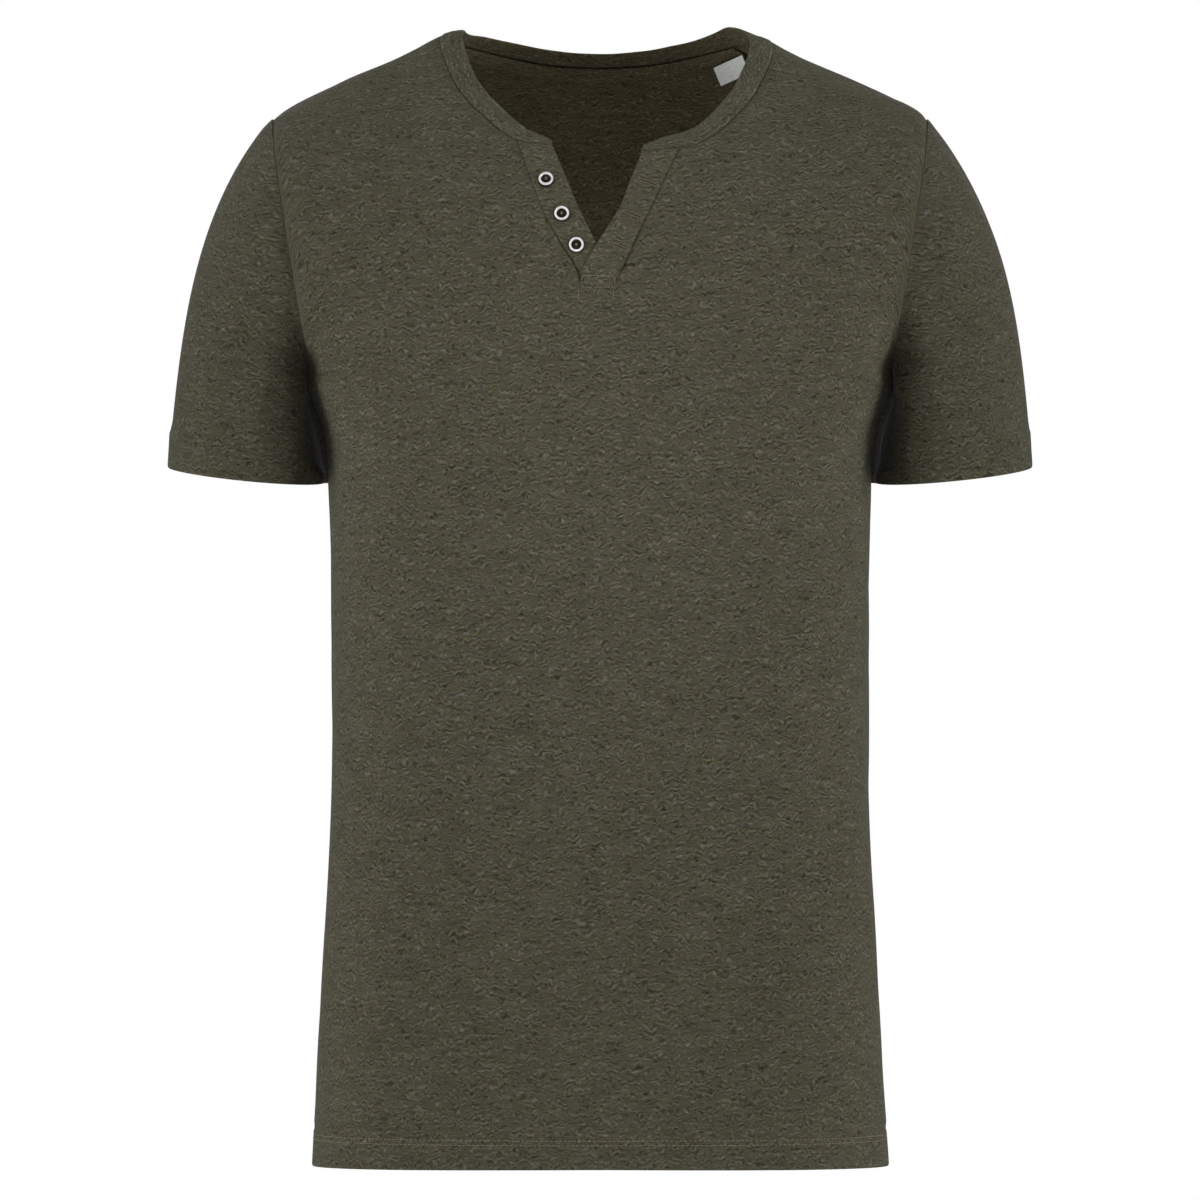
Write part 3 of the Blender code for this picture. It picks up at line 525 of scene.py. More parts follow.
def rounding(x, z, side):
    """0 on the shoulder ridge, 1 well below it."""
    height, power = (
        smooth(ROUNDINGS, "x", f"{side_name(side)}_{part}", np.abs(x)) for part in ("height", "power")
    )
    left = 1 - np.clip((ridge_z(x) - z) / height, 0.0, 1.0)
    return (1 - left**power) ** (1 / power)


def from_start(row, x, z):
    """How far along a fold or crease, as a share of its length, and how far aside in metres."""
    heading = math.radians(row.heading)
    dx, dz = x - row.x, z - row.z
    along = (dx * math.cos(heading) + dz * math.sin(heading)) / row.length
    return along, dz * math.cos(heading) - dx * math.sin(heading)


def bump_across(row, aside, reach):
    """A ridge or trough's height this far aside of its middle, where its reach is this share."""
    across = aside / row.width
    return row.height * reach * np.exp(-across * across)


def fold_height(x, z, side):
    total = 0.0
    for fold in FOLDS:
        if fold.side == side:
            along, aside = from_start(fold, np.abs(x), z)
            reach = eased(-0.3, 0.15, along) * (1 - eased(0.15, 1.0, along))
            total = total + bump_across(fold, aside, reach)
    return total


def trunk_y(x, z, side):
    share = np.minimum(np.abs(x) / section_half_width(z, side), 1.0)
    depth = section_depth(z, side) * (1 - share**ROUNDNESS) ** (1 / ROUNDNESS)
    depth = depth * rounding(x, z, side) + fold_height(x, z, side) * eased(0.0, 0.04, depth)
    return side * np.maximum(depth, SEAM_GAP / 2)


def trunk(x, z, side):
    """Points on the trunk form, one for each x and z."""
    x, z = np.broadcast_arrays(np.asarray(x, float), np.asarray(z, float))
    return np.stack([x, trunk_y(x, z, side), z], axis=-1)


def unit(vectors):
    return vectors / np.maximum(np.linalg.norm(vectors, axis=-1, keepdims=True), 1e-12)


def outward(x, z, side):
    across = trunk(x + SLOPE_STEP, z, side) - trunk(x - SLOPE_STEP, z, side)
    up = trunk(x, z + SLOPE_STEP, side) - trunk(x, z - SLOPE_STEP, side)
    return unit(np.cross(across, up) * -side)


def raised(x, z, side, rise):
    """Points this far off the trunk form, and their outward ways."""
    outs = outward(x, z, side)
    return trunk(x, z, side) + outs * np.asarray(rise)[..., None], outs


def span_lift(x, z):
    """How far forward or back the cloth is held beside the armhole seam."""
    off = np.abs(np.abs(x) - armhole_x(z)) / smooth(SPANS, "z", "reach", z)
    level = (SPANS[0].z < z) & (z < SPANS[-1].z)
    return np.where(level, np.maximum(smooth(SPANS, "z", "lift", z), 0.0), 0.0) * np.exp(-off)


def hem_height(up, depth, run):
    """The lift of a hem: it stands a little proud, below a groove, and puckers along its sewing."""
    proud = HEM_FLARE * (1 - eased(depth - 0.002, depth + 0.003, up))
    groove = HEM_GROOVE * bell(up - depth - 0.0012, 0.0019)
    sewn = bell(up - depth * 0.84, 0.0045)
    pucker = np.sin(run / PUCKER) + 0.6 * np.sin(run / (PUCKER * 1.73) + 1.0)
    return proud - groove + HEM_PUCKER * pucker * sewn


def crease_height(x, z, side):
    """How far the hem, the fine creases and the slow waves lift the cloth here."""
    total = hem_height(z - HEM_SIDE_Z, HEM_DEPTH, x)
    for crease in CREASES:
        if crease.side == side:
            across_x = np.abs(x) if crease.hand == 0 else x * crease.hand
            along, aside = from_start(crease, across_x, z)
            bent = crease.bow * crease.length * 4 * along * (1 - along)
            reach = eased(-0.12, 0.35, along) * (1 - eased(0.45, 1.1, along))
            total = total + bump_across(crease, aside - bent, reach)
    for wave in WAVES:
        turn = 2 * math.pi * (x / wave.across + z / wave.up) + wave.phase + side
        total = total + wave.height * np.sin(turn)
    return total * cloth_sizes().crease_strength


def cloth_place(x, z, side):
    """Cloth coordinates in metres: how far round from the centre, and how far up the slope. The
    slope is followed at a steady share of the way to the armhole."""
    shares = np.linspace(0, 1, ARC_SAMPLES + 1)
    round_it = trunk(x[..., None] * shares, z[..., None], side)
    steps = np.linalg.norm(np.diff(round_it, axis=-2), axis=-1).sum(axis=-1)
    start = np.minimum(z, UNDERARM_Z)[..., None]
    heights = mix(start, z[..., None], shares)
    out_share = (x / armhole_x(z))[..., None]
    up_it = trunk(out_share * armhole_x(heights), heights, side)
    rises = np.linalg.norm(np.diff(up_it, axis=-2)[..., 1:], axis=-1).sum(axis=-1)
    return np.stack([np.sign(x) * steps + side, start[..., 0] + rises], axis=-1)


# ---- Curves through seam points -------------------------------------------------------------------


def curve(knots, corners=(), per_step=None, step=ROW_STEP):
    """Points on a smooth curve through the knots, with a sharp turn at the numbered corners.
    per_step says how many points each stretch takes, where another curve has to match."""
    knots = np.array(knots, float)
    chords = np.diff(knots, axis=0)
    lengths = np.maximum(np.linalg.norm(chords, axis=1), 1e-9)
    ways = chords / lengths[:, None]
    inner = (knots[2:] - knots[:-2]) / (lengths[1:] + lengths[:-1])[:, None]
    leaving = np.vstack([ways[:1], inner])
    reaching = np.vstack([inner, ways[-1:]])
    for corner in corners:
        leaving[corner] = ways[corner]
        reaching[corner - 1] = ways[corner - 1]
    points = []
    for n, length in enumerate(lengths):
        count = per_step[n] if per_step is not None else max(1, math.ceil(length / step))
        t = (np.arange(count) / count)[:, None]
        points.append(cubic(knots[n], knots[n + 1], leaving[n] * length, reaching[n] * length, t))
    return np.vstack(points + [knots[-1:]])


def run_along(points):
    return np.append(0.0, np.cumsum(np.linalg.norm(np.diff(points, axis=0), axis=1)))


def at_run(distance, run, values):
    """Rows of values given along a run, read at these distances."""
    return np.stack([np.interp(distance, run, column) for column in values.T], axis=-1)


def spread_evenly(points, step):
    """The same course in equal steps of about this length."""
    run = run_along(points)
    return at_run(np.linspace(0, run[-1], max(2, round(run[-1] / step) + 1)), run, points)


def shoulder_end(hand):
    return SeamPoint(NECK_POINT_X[hand], float(ridge_z(NECK_POINT_X[hand])))


def back_neck(hand):
    """The back's neck seam, with the turn it takes just behind the shoulder seam."""
    x = mix(BACK_NECK[-1].x, NECK_POINT_X[hand], NECK_TURN_SHARE)
    return [*BACK_NECK, SeamPoint(x, float(ridge_z(x)) - NECK_TURN_DROP)]


# ---- Meshes ---------------------------------------------------------------------------------------


class Sheet:
    """Grids of points with their cloth coordinates and wall shares, gathered into one mesh."""

    def __init__(self):
        self.points, self.places, self.shares, self.faces = [], [], [], []
        self.count = 0

    def add_grid(self, points, places, shares, closed=False):
        rows, columns = points.shape[:2]
        numbers = np.arange(rows * columns).reshape(rows, columns) + self.count
        following = np.roll(numbers, -1, axis=1) if closed else numbers[:, 1:]
        here = numbers if closed else numbers[:, :-1]
        quads = np.stack([here[:-1], following[:-1], following[1:], here[1:]], axis=-1)
        self.faces += quads.reshape(-1, 4).tolist()
        self.points.append(points.reshape(-1, 3))
        self.places.append(places.reshape(-1, 2))
        self.shares.append(np.broadcast_to(shares, (rows, columns)).reshape(-1))
        self.count += rows * columns
        return numbers

    def make(self, name, material):
        """A new object with its cloth coordinates and its wall shares."""
        thing = new_object(name, np.vstack(self.points).tolist(), self.faces, material)
        mesh = thing.data
        layer = mesh.uv_layers.new(name="Cloth")
        places = np.vstack(self.places)
        corners = np.empty(len(mesh.loops), int)
        mesh.loops.foreach_get("vertex_index", corners)
        layer.data.foreach_set("uv", places[corners].ravel())
        group = thing.vertex_groups.new(name="Wall share")
        shares = np.concatenate(self.shares)
        for share in np.unique(shares):
            group.add(np.flatnonzero(shares == share).tolist(), float(share), "REPLACE")
        align_faces(mesh)
        return thing


def new_object(name, points, faces, *materials):
    mesh = bpy.data.meshes.new(name)
    mesh.from_pydata(points, [], faces)
    for material in materials:
        mesh.materials.append(material)
    thing = bpy.data.objects.new(name, mesh)
    bpy.context.scene.collection.objects.link(thing)
    return thing


def align_faces(mesh, merge=True):
    """Merges doubles and turns the faces to point the same way."""
    shape = bmesh.new()
    shape.from_mesh(mesh)
    if merge:
        bmesh.ops.remove_doubles(shape, verts=shape.verts, dist=1e-6)
    bmesh.ops.recalc_face_normals(shape, faces=shape.faces)
    shape.to_mesh(mesh)
    shape.free()


def make_active(thing):
    for other in bpy.context.selected_objects:
        other.select_set(False)
    thing.select_set(True)
    bpy.context.view_layer.objects.active = thing


def shade(thing, degrees=CLOTH_EDGE):
    """Smooth shading, but for edges sharper than this."""
    make_active(thing)
    bpy.ops.object.shade_smooth_by_angle(angle=math.radians(degrees))


def turn_out(thing, inside_point):
    """Turns an open sheet's faces away from a point inside the garment."""
    mesh = thing.data
    votes = sum(
        face.area * (face.center - Vector(inside_point(face.center))).dot(face.normal)
        for face in mesh.polygons
    )
    if votes < 0:
        mesh.flip_normals()


def add_wall(thing, thickness, offset, **settings):
    make_active(thing)
    wall = thing.modifiers.new("Wall", "SOLIDIFY")
    for key, value in dict(settings, thickness=thickness, offset=offset).items():
        setattr(wall, key, value)
    bpy.ops.object.modifier_apply(modifier=wall.name)


def walled(sheet, name, material, inside_point):
    """The sheet's object, with the jersey's reverse inside, lightened and warmed there as painted light,
    and its wall by its wall shares, half to each side."""
    thing = sheet.make(name, material)
    thing.data.materials.append(knit(LIT_REVERSE))
    turn_out(thing, inside_point)
    add_wall(
        thing, cloth_sizes().hem_wall, 0.0, use_even_offset=False, vertex_group="Wall share",
        material_offset=1, material_offset_rim=0,
    )
    shade(thing)
    return thing


def sink_beside(points, seams, depth, width):
    """How far each point dips, by its distance to the nearest seam point."""
    tree = KDTree(len(seams))
    for number, point in enumerate(seams):
        tree.insert(point, number)
    tree.balance()
    flat = points.reshape(-1, 3)
    near = np.array([tree.find(point)[2] for point in flat]).reshape(points.shape[:-1])
    return depth * bell(near, width)


# ---- Panels ---------------------------------------------------------------------------------------


def below_underarm():
    """Heights of the rows from the hem to the underarm, close together over the hem."""
    hem = HEM_SIDE_Z + np.array(HEM_ROWS)
    first = HEM_SIDE_Z + HEM_DEPTH
    steps = math.ceil((UNDERARM_Z - first) / ROW_STEP)
    return np.concatenate([hem, [first], np.linspace(first + 0.0015, UNDERARM_Z, steps)])


def hem_shares(up, depth):
    """Wall shares up from a hem: rounded at the very edge, doubled over the hem, single above."""
    single = cloth_sizes().wall / cloth_sizes().hem_wall
    rounded = np.interp(up, HEM_ROWS[:4], (0.35, 0.72, 0.95, 1.0))
    return np.where(up > depth + 1e-6, single, rounded)


def inner_knots(hand, side):
    """The inner ends of a half panel's rows from the underarm up, and the corners among them."""
    if side == FRONT:
        slit_painted_shadow = [(abs(row.seam_x), row.seam_z) for row in STRIPS[hand]]
        below = [(slit_painted_shadow[0][0], mix(UNDERARM_Z, SLIT_Z, n / 3)) for n in range(3)]
        neck = [*FRONT_NECK[hand][1:], shoulder_end(hand)]
        return below + slit_painted_shadow + neck, (3, 8)
    shares = [(n / 10) ** 1.5 for n in range(10, 0, -1)]
    below = [(BACK_NECK[0].x, mix(BACK_NECK_Z, UNDERARM_Z, share)) for share in shares]
    return below + back_neck(hand) + [shoulder_end(hand)], (10,)


def across_rows(inner, outer, shares, side):
    """(x, z) of rows from their inner to their outer ends, at these shares of the way round."""

    def turn(ends):
        share = np.minimum(ends[:, :1] / section_half_width(ends[:, 1:], side), 1.0)
        return np.arcsin(share ** (ROUNDNESS / 2))

    turns = mix(turn(inner), turn(outer), shares)
    level = mix(inner[:, 1:], outer[:, 1:], shares)
    drops = [np.maximum(ridge_z(ends[:, :1]) - ends[:, 1:], 0.0) for ends in (inner, outer)]
    drop = mix(*drops, shares)
    follows_ridge = 1 - eased(*RIDGE_FOLLOWED, sum(drops) / 2)
    z = level
    for _ in range(RIDGE_PASSES):
        x = section_half_width(z, side) * np.sin(turns) ** (2 / ROUNDNESS)
        z = mix(level, ridge_z(x) - drop, follows_ridge)
    return x, z


def armhole_rows(turns):
    """(x, z) on the armhole, from the underarm at a turn of 0 to the shoulder at pi."""
    z = ARMHOLE_MIDDLE - ARMHOLE_HALF_HEIGHT * np.cos(turns)
    return armhole_x(z), z


def panel_ends(hand, side, per_step):
    """The inner and outer ends of a half panel's rows, from the hem up."""
    heights = below_underarm()
    lift = HEM_CENTRE_RISE * np.clip(1 - (heights - HEM_SIDE_Z) / HEM_DEPTH, 0, 1)
    knots, corners = inner_knots(hand, side)
    inner_above = curve(knots, corners, per_step)[1:]
    turns = np.arange(len(knots)) / (len(knots) - 1)
    spread = np.concatenate([
        mix(turns[n], turns[n + 1], np.arange(count) / count) for n, count in enumerate(per_step)
    ])
    turns = math.pi * np.append(spread, 1.0)[1:]
    inner_x = np.full_like(heights, knots[0][0])
    side_x = smooth(TRUNK, "z", "half_width", heights)
    inner = np.vstack([np.stack([inner_x, heights + lift], axis=-1), inner_above])
    above = np.stack(armhole_rows(turns), axis=-1)
    outer = np.vstack([np.stack([side_x, heights], axis=-1), above])
    return inner, outer


def steps_between_knots(side):
    """How many rows each stretch of the upper panel takes, the same for both halves."""
    knots = np.array(inner_knots(WEARERS_LEFT, side)[0])
    inner = trunk(knots[:, 0], knots[:, 1], side)
    turns = math.pi * np.arange(len(knots)) / (len(knots) - 1)
    outer = trunk(*armhole_rows(turns), side)
    lengths = [np.linalg.norm(np.diff(ends, axis=0), axis=1) for ends in (inner, outer)]
    return [max(1, math.ceil(length / ROW_STEP)) for length in np.maximum(*lengths)]


def make_panel(name, side, material):
    """A whole front or back: two halves, joined by a strip down the centre below the neck or slit."""
    cloth = cloth_sizes()
    per_step = steps_between_knots(side)
    even = np.linspace(0, 1, COLUMNS + 1)
    edges = np.array(EDGE_SHARES)
    shares = np.unique(np.concatenate([even, edges, 1 - edges]))
    heights = below_underarm()
    to_corner = inner_knots(WEARERS_LEFT, side)[1][0]
    joined = len(heights) + sum(per_step[:to_corner])
    grids, seams, neck = [], [], []
    for hand in (WEARERS_RIGHT, WEARERS_LEFT):
        inner, outer = panel_ends(hand, side, per_step)
        x, z = across_rows(inner, outer, shares, side)
        points = trunk(hand * x, z, side)
        seams += [points[:, -1], points[-1]]
        neck += [points[joined - 1 :, 0]]
        grids.append((hand * x, z))
    right, left = grids
    strip = np.linspace(0, 1, STRIP_COLUMNS + 1)
    strip_x, strip_z = (mix(a[:joined, :1], b[:joined, :1], strip) for a, b in zip(right, left))
    grids.append((strip_x, strip_z))
    if side == BACK:
        neck.append(trunk(strip_x[-1], strip_z[-1], side))
    fine_seams, neck_seams = (
        np.vstack([spread_evenly(seam, cloth.seam_width / 3) for seam in some]) for some in (seams, neck)
    )
    wall_shares = np.full(len(right[0]), cloth.wall / cloth.hem_wall)
    wall_shares[: len(heights)] = hem_shares(heights - heights[0], HEM_DEPTH)
    sheet = Sheet()
    for x, z in grids:
        surface = trunk(x, z, side)
        sink = np.maximum(
            sink_beside(surface, fine_seams, cloth.seam_depth * FINE_SEAM_SHARE, cloth.seam_width),
            sink_beside(surface, neck_seams, cloth.seam_depth, cloth.seam_width)
            * (slit_share(x, z) if side == FRONT else BACK_NECK_SHARE),
        )
        hold = edge_hold(surface, np.vstack([fine_seams, neck_seams]))
        rise = crease_height(x, z, side) * hold
        points = surface + outward(x, z, side) * (rise - sink)[..., None]
        points[..., 1] += side * span_lift(x, z)
        sheet.add_grid(points, cloth_place(x, z, side), wall_shares[: len(x), None])
    return walled(sheet, name, material, lambda centre: (0.0, 0.0, centre.z - 0.02))


def slit_share(x, z):
    """How much of a neck seam's dip the cloth takes: little where the strips are sewn together."""
    fades, shares = (np.where(x < 0, *pair) for pair in (SEAM_FADES, NECK_SHARES))
    return mix(FADED_SHARE, shares, eased(-0.008, 0.008, z - fades))


def edge_hold(points, seams):
    """0 on a seam and 1 away from it, so that creases die out before the edge they are sewn to."""
    return 1 - sink_beside(points, seams, 1.0, CREASE_HOLD)


# ---- Sleeves --------------------------------------------------------------------------------------


def sleeve_blend(turn, name):
    shares = {
        "top": np.maximum(np.cos(turn), 0.0) ** 2,
        "under": np.maximum(-np.cos(turn), 0.0) ** 2,
        "front": np.maximum(np.sin(turn), 0.0) ** 2,
        "back": np.maximum(-np.sin(turn), 0.0) ** 2,
    }
    return sum(
        share[:, None] * np.array(getattr(SLEEVE_SIDES[side], name))
        for side, share in shares.items()
    )


def tuck(turn):
    """1 near the middle of the stretch from the underarm to the back, 0 outside it."""
    return 4 * np.maximum(-np.cos(turn), 0.0) * np.maximum(-np.sin(turn), 0.0) ** 3


def cuff_points(turn):
    drop = np.where(np.sin(turn) > 0, CUFF_FRONT_DROP, CUFF_BACK_DROP)
    return CUFF_CENTRE + np.stack(
        [
            CUFF_HALF_WIDTH * np.cos(turn) - CUFF_TUCK * tuck(turn),
            -CUFF_HALF_DEPTH * np.sin(turn),
            CUFF_OUTER_RISE * np.cos(turn) - drop * np.abs(np.sin(turn)),
        ],
        axis=-1,
    )


def sleeve_surface(shares):
    """Rings of a left sleeve's points from the underarm round the back, the top and the front to
    the underarm again, and each column's turn."""
    half = SLEEVE_COLUMNS // 2
    x, z = armhole_rows(math.pi * (np.arange(half + 1) / half))
    armhole = np.vstack([trunk(x, z, BACK), trunk(x, z, FRONT)[::-1][1:]])
    turn = np.arctan2(
        -armhole[:, 1] / ARMHOLE_HALF_DEPTH, (armhole[:, 2] - ARMHOLE_MIDDLE) / ARMHOLE_HALF_HEIGHT
    )
    start = armhole + sleeve_blend(turn, "stand_off") * SLEEVE_OFF_SHARE
    end = cuff_points(turn)
    leave = sleeve_blend(turn, "leave")
    leave[:, 0] -= LEAVE_TUCK * tuck(turn)
    controls = (start, start + leave, end - sleeve_blend(turn, "arrive"), end)
    t = np.asarray(shares)[:, None, None]
    weights = ((1 - t) ** 3, 3 * (1 - t) ** 2 * t, 3 * (1 - t) * t**2, t**3)
    return sum(weight * control for weight, control in zip(weights, controls)), turn


def sleeve_normals(rings):
    """Pointing out of a left sleeve, for points as sleeve_surface gives them."""
    down = np.gradient(rings, axis=0)
    closed = np.concatenate([rings[:, -2:-1], rings, rings[:, 1:2]], axis=1)
    around = (closed[:, 2:] - closed[:, :-2]) / 2
    return unit(np.cross(down, around))


def sleeve_shares():
    """Shares of the way down a sleeve, close together at both ends."""
    hem = 1 - np.array(HEM_ROWS[:-2]) * (SLEEVE_HEM_DEPTH / HEM_ROWS[-3]) / SLEEVE_LENGTH
    top = hem.min() - 0.0015 / SLEEVE_LENGTH
    body = np.linspace(0, top, SLEEVE_ROWS)
    return np.unique(np.concatenate([body, hem, (0.004, 0.010)]))


def sleeve_crease_height(turn, shares, hand):
    """Lift of a sleeve's cloth: creases along straight lines on its turn and share."""
    total = np.zeros((len(shares), len(turn)))
    u = (turn * CUFF_HALF_DEPTH)[None, :]
    v = (shares * SLEEVE_LENGTH)[:, None]
    metres = np.array((math.radians(1) * CUFF_HALF_DEPTH, SLEEVE_LENGTH))
    for crease in SLEEVE_CREASES[hand]:
        start, end = crease[:2] * metres, crease[2:4] * metres
        length = np.linalg.norm(end - start)
        way = (end - start) / length
        along = ((u - start[0]) * way[0] + (v - start[1]) * way[1]) / length
        bent = 0.08 * length * 4 * along * (1 - along)
        aside = (v - start[1]) * way[0] - (u - start[0]) * way[1] - bent
        reach = eased(-0.15, 0.35, along) * (1 - eased(0.4, 1.15, along))
        total += bump_across(crease, aside, reach)
    total += 0.0004 * np.sin(u / 0.017 + v / 0.045 + hand) + 0.0003 * np.sin(v / 0.021 - u / 0.034)
    hold = eased(0.0, 0.05, shares) * (1 - 0.8 * eased(0.88, 0.92, shares))
    total *= hold[:, None] * cloth_sizes().crease_strength
    up = (1 - shares)[:, None] * SLEEVE_LENGTH
    return total + hem_height(up, SLEEVE_HEM_DEPTH, u)


def sleeve_places(rings):
    """Cloth coordinates of a sleeve laid flat: up each column from the cuff, and out from the
    sleeve's top by the distance between columns, square to them."""
    up = np.linalg.norm(np.diff(rings[::-1], axis=0), axis=-1)
    heights = np.concatenate([np.zeros((1, rings.shape[1])), np.cumsum(up, axis=0)])[::-1]
    ways = unit(np.gradient(rings, axis=0))
    ways = unit(ways[:, 1:] + ways[:, :-1])
    spacing = np.linalg.norm(np.cross(np.diff(rings, axis=1), ways), axis=-1)
    out = np.concatenate([np.zeros((len(rings), 1)), np.cumsum(spacing, axis=1)], axis=1)
    out = out - out[:, SLEEVE_COLUMNS // 2, None]
    return np.stack([out, heights], axis=-1)


def make_sleeve(name, hand, material):
    cloth = cloth_sizes()
    shares = sleeve_shares()
    rings, turn = sleeve_surface(shares)
    normals = sleeve_normals(rings)
    run = np.linalg.norm(np.diff(rings, axis=0), axis=-1).mean(axis=1)
    down = np.append(0.0, np.cumsum(run))
    sink = cloth.seam_depth * FINE_SEAM_SHARE * bell(down, cloth.seam_width)
    head = np.maximum(np.cos(turn), 0.0) ** 4 * bell(down, HEAD_REACH)[:, None]
    rise = sleeve_crease_height(turn, shares, hand) - sink[:, None] - HEAD_DIP * head
    points = rings + normals * rise[..., None]
    points[..., 1] += np.sign(rings[..., 1]) * span_lift(rings[..., 0], rings[..., 2])
    points = points * np.array((hand, 1.0, 1.0))
    places = sleeve_places(rings) * np.array((hand, 1.0)) + np.array((3.0 * hand, 0.0))
    wall_shares = hem_shares((1 - shares) * SLEEVE_LENGTH, SLEEVE_HEM_DEPTH)
    sheet = Sheet()
    sheet.add_grid(points, places, wall_shares[:, None])
    middle_x = hand * CUFF_CENTRE[0] * 0.98
    return walled(sheet, name, material, lambda centre: (middle_x, 0.0, centre.z))


# ---- Neckband, strips, tape and label -------------------------------------------------------------


def ribbon(name, place, cut, width, material, upright=False, reverse=None):
    """A closed strip, with the reverse material on its side away from the outward ways.
    place(share) gives a row of points along it and their outward ways, and cut lists the outline
    of its section. Cloth that is upright has its courses across the strip."""
    rings, places = [], []
    outline = np.array([(point.across * width, point.level) for point in [*cut, cut[0]]])
    along = run_along(place(0.5)[0])
    # The cloth runs on round the fold, so that its flecks don't mirror there.
    for point, crossed in zip([*cut, cut[0]], run_along(outline)):
        middle, outs = place(point.across)
        rings.append(middle + outs * point.level)
        pair = (along, np.full_like(along, crossed))
        places.append(np.stack(pair[::-1] if upright else pair, axis=-1))
    sheet = Sheet()
    numbers = sheet.add_grid(np.stack(rings, axis=1), np.stack(places, axis=1), 1.0)
    for row in (numbers[0, :-1], numbers[-1, :-1]):
        sheet.faces.append(row.tolist())
    strip = sheet.make(name, material)
    if reverse:
        strip.data.materials.append(reverse)
        turn = [point.across for point in cut].index(1.0)
        columns = np.arange(len(strip.data.polygons) - 2) % len(cut)
        finishes = np.append(columns >= turn, [False, False])
        strip.data.polygons.foreach_set("material_index", finishes.astype(int))
    shade(strip)
    return strip


def strip_ends(hand, step=0.003):
    """The seam edge and the free edge of a placket strip from the bottom up, as (x, z)."""
    seam = [(row.seam_x, row.seam_z) for row in STRIPS[hand]]
    free = [(row.free_x, row.free_z) for row in STRIPS[hand]]
    lengths = np.linalg.norm(np.diff(np.array(seam), axis=0), axis=1)
    per_step = [max(1, math.ceil(length / step)) for length in lengths]
    return curve(seam, (), per_step), curve(free, (), per_step)


def strip_level(z, full):
    return full * (1 - eased(OVERLAP_Z, SIDE_BY_SIDE_Z, z))


def strip_place(hand, share, lift=0.0):
    """Points across a placket strip, from bottom to top, and their outward ways."""
    full = OVER_LIFT if hand == WEARERS_LEFT else -UNDER_SINK
    seam, free = strip_ends(hand)
    x, z = mix(seam, free, share).T
    x = x - hand * STRIP_SIDE_GAP * (1 - share)
    # The ends stop just short of the slit's bottom and of the neckband.
    z = z + np.interp(z, (z[0], z[0] + 0.01, z[-1] - 0.01, z[-1]), (SEAM_GAP, 0, 0, -SEAM_GAP))
    return raised(x, z, FRONT, strip_level(z, full) + lift)


def neck_course():
    """Points all round the neck seam, from the V's corner on the wearer's right, round the back, to
    the one on the left."""
    stretches = []
    for hand in (WEARERS_RIGHT, WEARERS_LEFT):
        top = STRIPS[hand][-1]
        corner = [(top.free_x, top.free_z), (top.seam_x, top.seam_z)]
        over_strip = curve(corner, step=BAND_STEP)
        front = curve([*FRONT_NECK[hand], shoulder_end(hand)], step=BAND_STEP)
        half = np.vstack([over_strip, front[1:] * np.array((hand, 1.0))])
        stretches.append(trunk(*half.T, FRONT))
    knots = [(-p.x, p.z) for p in [shoulder_end(-1), *reversed(back_neck(WEARERS_RIGHT))]]
    knots += [(p.x, p.z) for p in [*back_neck(WEARERS_LEFT), shoulder_end(1)]]
    behind = trunk(*curve(knots, step=BAND_STEP).T, BACK)
    return np.vstack([stretches[0], behind[1:-1], stretches[1][::-1]])


def band_way(course):
    """The band's way from its seam edge to its top edge, at each point of the neck's course."""
    inward = unit(course * np.array((-1.0, -1.0, 0.0)))
    slope = mix(BAND_SLOPE, BAND_SHOULDER_SLOPE, inward[:, 0] ** 4)
    full = unit(inward + slope[:, None] * np.array((0.0, 0.0, 1.0))) * BAND_WIDTH
    on_left = course[:, :1] > 0
    ends = {hand: way * np.array((hand, 1.0, 1.0)) for hand, way in BAND_ENDS.items()}
    end = np.where(on_left, ends[WEARERS_LEFT], ends[WEARERS_RIGHT])
    peak = bell(course[:, 1] - PEAK_BEHIND, PEAK_REACH) * PEAK_HEIGHT
    peak = peak * (np.sign(course[:, 0]) == PEAK_HAND)
    full = full + peak[:, None] * np.array((0.0, 0.0, 1.0))
    run = run_along(course)
    from_end = np.minimum(run, run[-1] - run)
    return mix(end, full, np.minimum(from_end / BAND_END_LENGTH, 1.0)[:, None])


def settled(values, passes):
    """Rows evened out along their course, with the ends kept."""
    for _ in range(passes):
        middle = (values[:-2] + 2 * values[1:-1] + values[2:]) / 4
        values = np.vstack([values[:1], middle, values[-1:]])
    return values


def band_frame():
    """Base points, ways across and outward ways all along the neckband."""
    course = spread_evenly(neck_course(), BAND_STEP)
    ways = settled(band_way(course), 4)
    behind = eased(-0.032, -0.008, course[:, 1])[:, None]
    base = course + unit(ways) * mix(BAND_SEAM_GAP, BAND_BACK_GAP, behind)
    along = unit(np.gradient(course, axis=0))
    outs = settled(unit(np.cross(ways, along)), 3)
    outwards = course * np.array((1.0, 1.0, 0.0))
    if (outs * outwards).sum() < 0:
        outs = -outs
    return base, ways, unit(outs)


def make_neckband(name, material):
    base, ways, outs = band_frame()
    run = run_along(base)
    ripple = RIPPLE * np.sin(run / RIPPLE_SHORT) * np.sin(run / RIPPLE_LONG + 1.0)

    def place(share):
        return base + ways * share + outs * (ripple * share)[:, None], outs

    # The band's inner face takes the reverse jersey, lightened and warmed as painted light.
    return ribbon(name, place, BAND_CUT, BAND_WIDTH, material, reverse=knit(LIT_REVERSE))


def make_placket(name, hand, material):
    return ribbon(
        name, lambda share: strip_place(hand, share), STRIP_CUT, STRIP_WIDTH, material, upright=True
    )


def below_neck(x, z, distance):
    """(x, z) reached by going this far down the back from its neck seam."""
    place = trunk(x, z, BACK)
    steps = max(1, round(distance / SLOPE_STEP))
    for _ in range(steps):
        outs = outward(place[:, 0], place[:, 2], BACK)
        along = unit(np.stack([-place[:, 1], place[:, 0], 0 * place[:, 0]], axis=-1))
        down = np.cross(outs, along)
        down = down * -np.sign(down[:, 2:]) * distance / steps
        place = place + down
        place = trunk(place[:, 0], place[:, 2], BACK)
    return place[:, 0], place[:, 2]


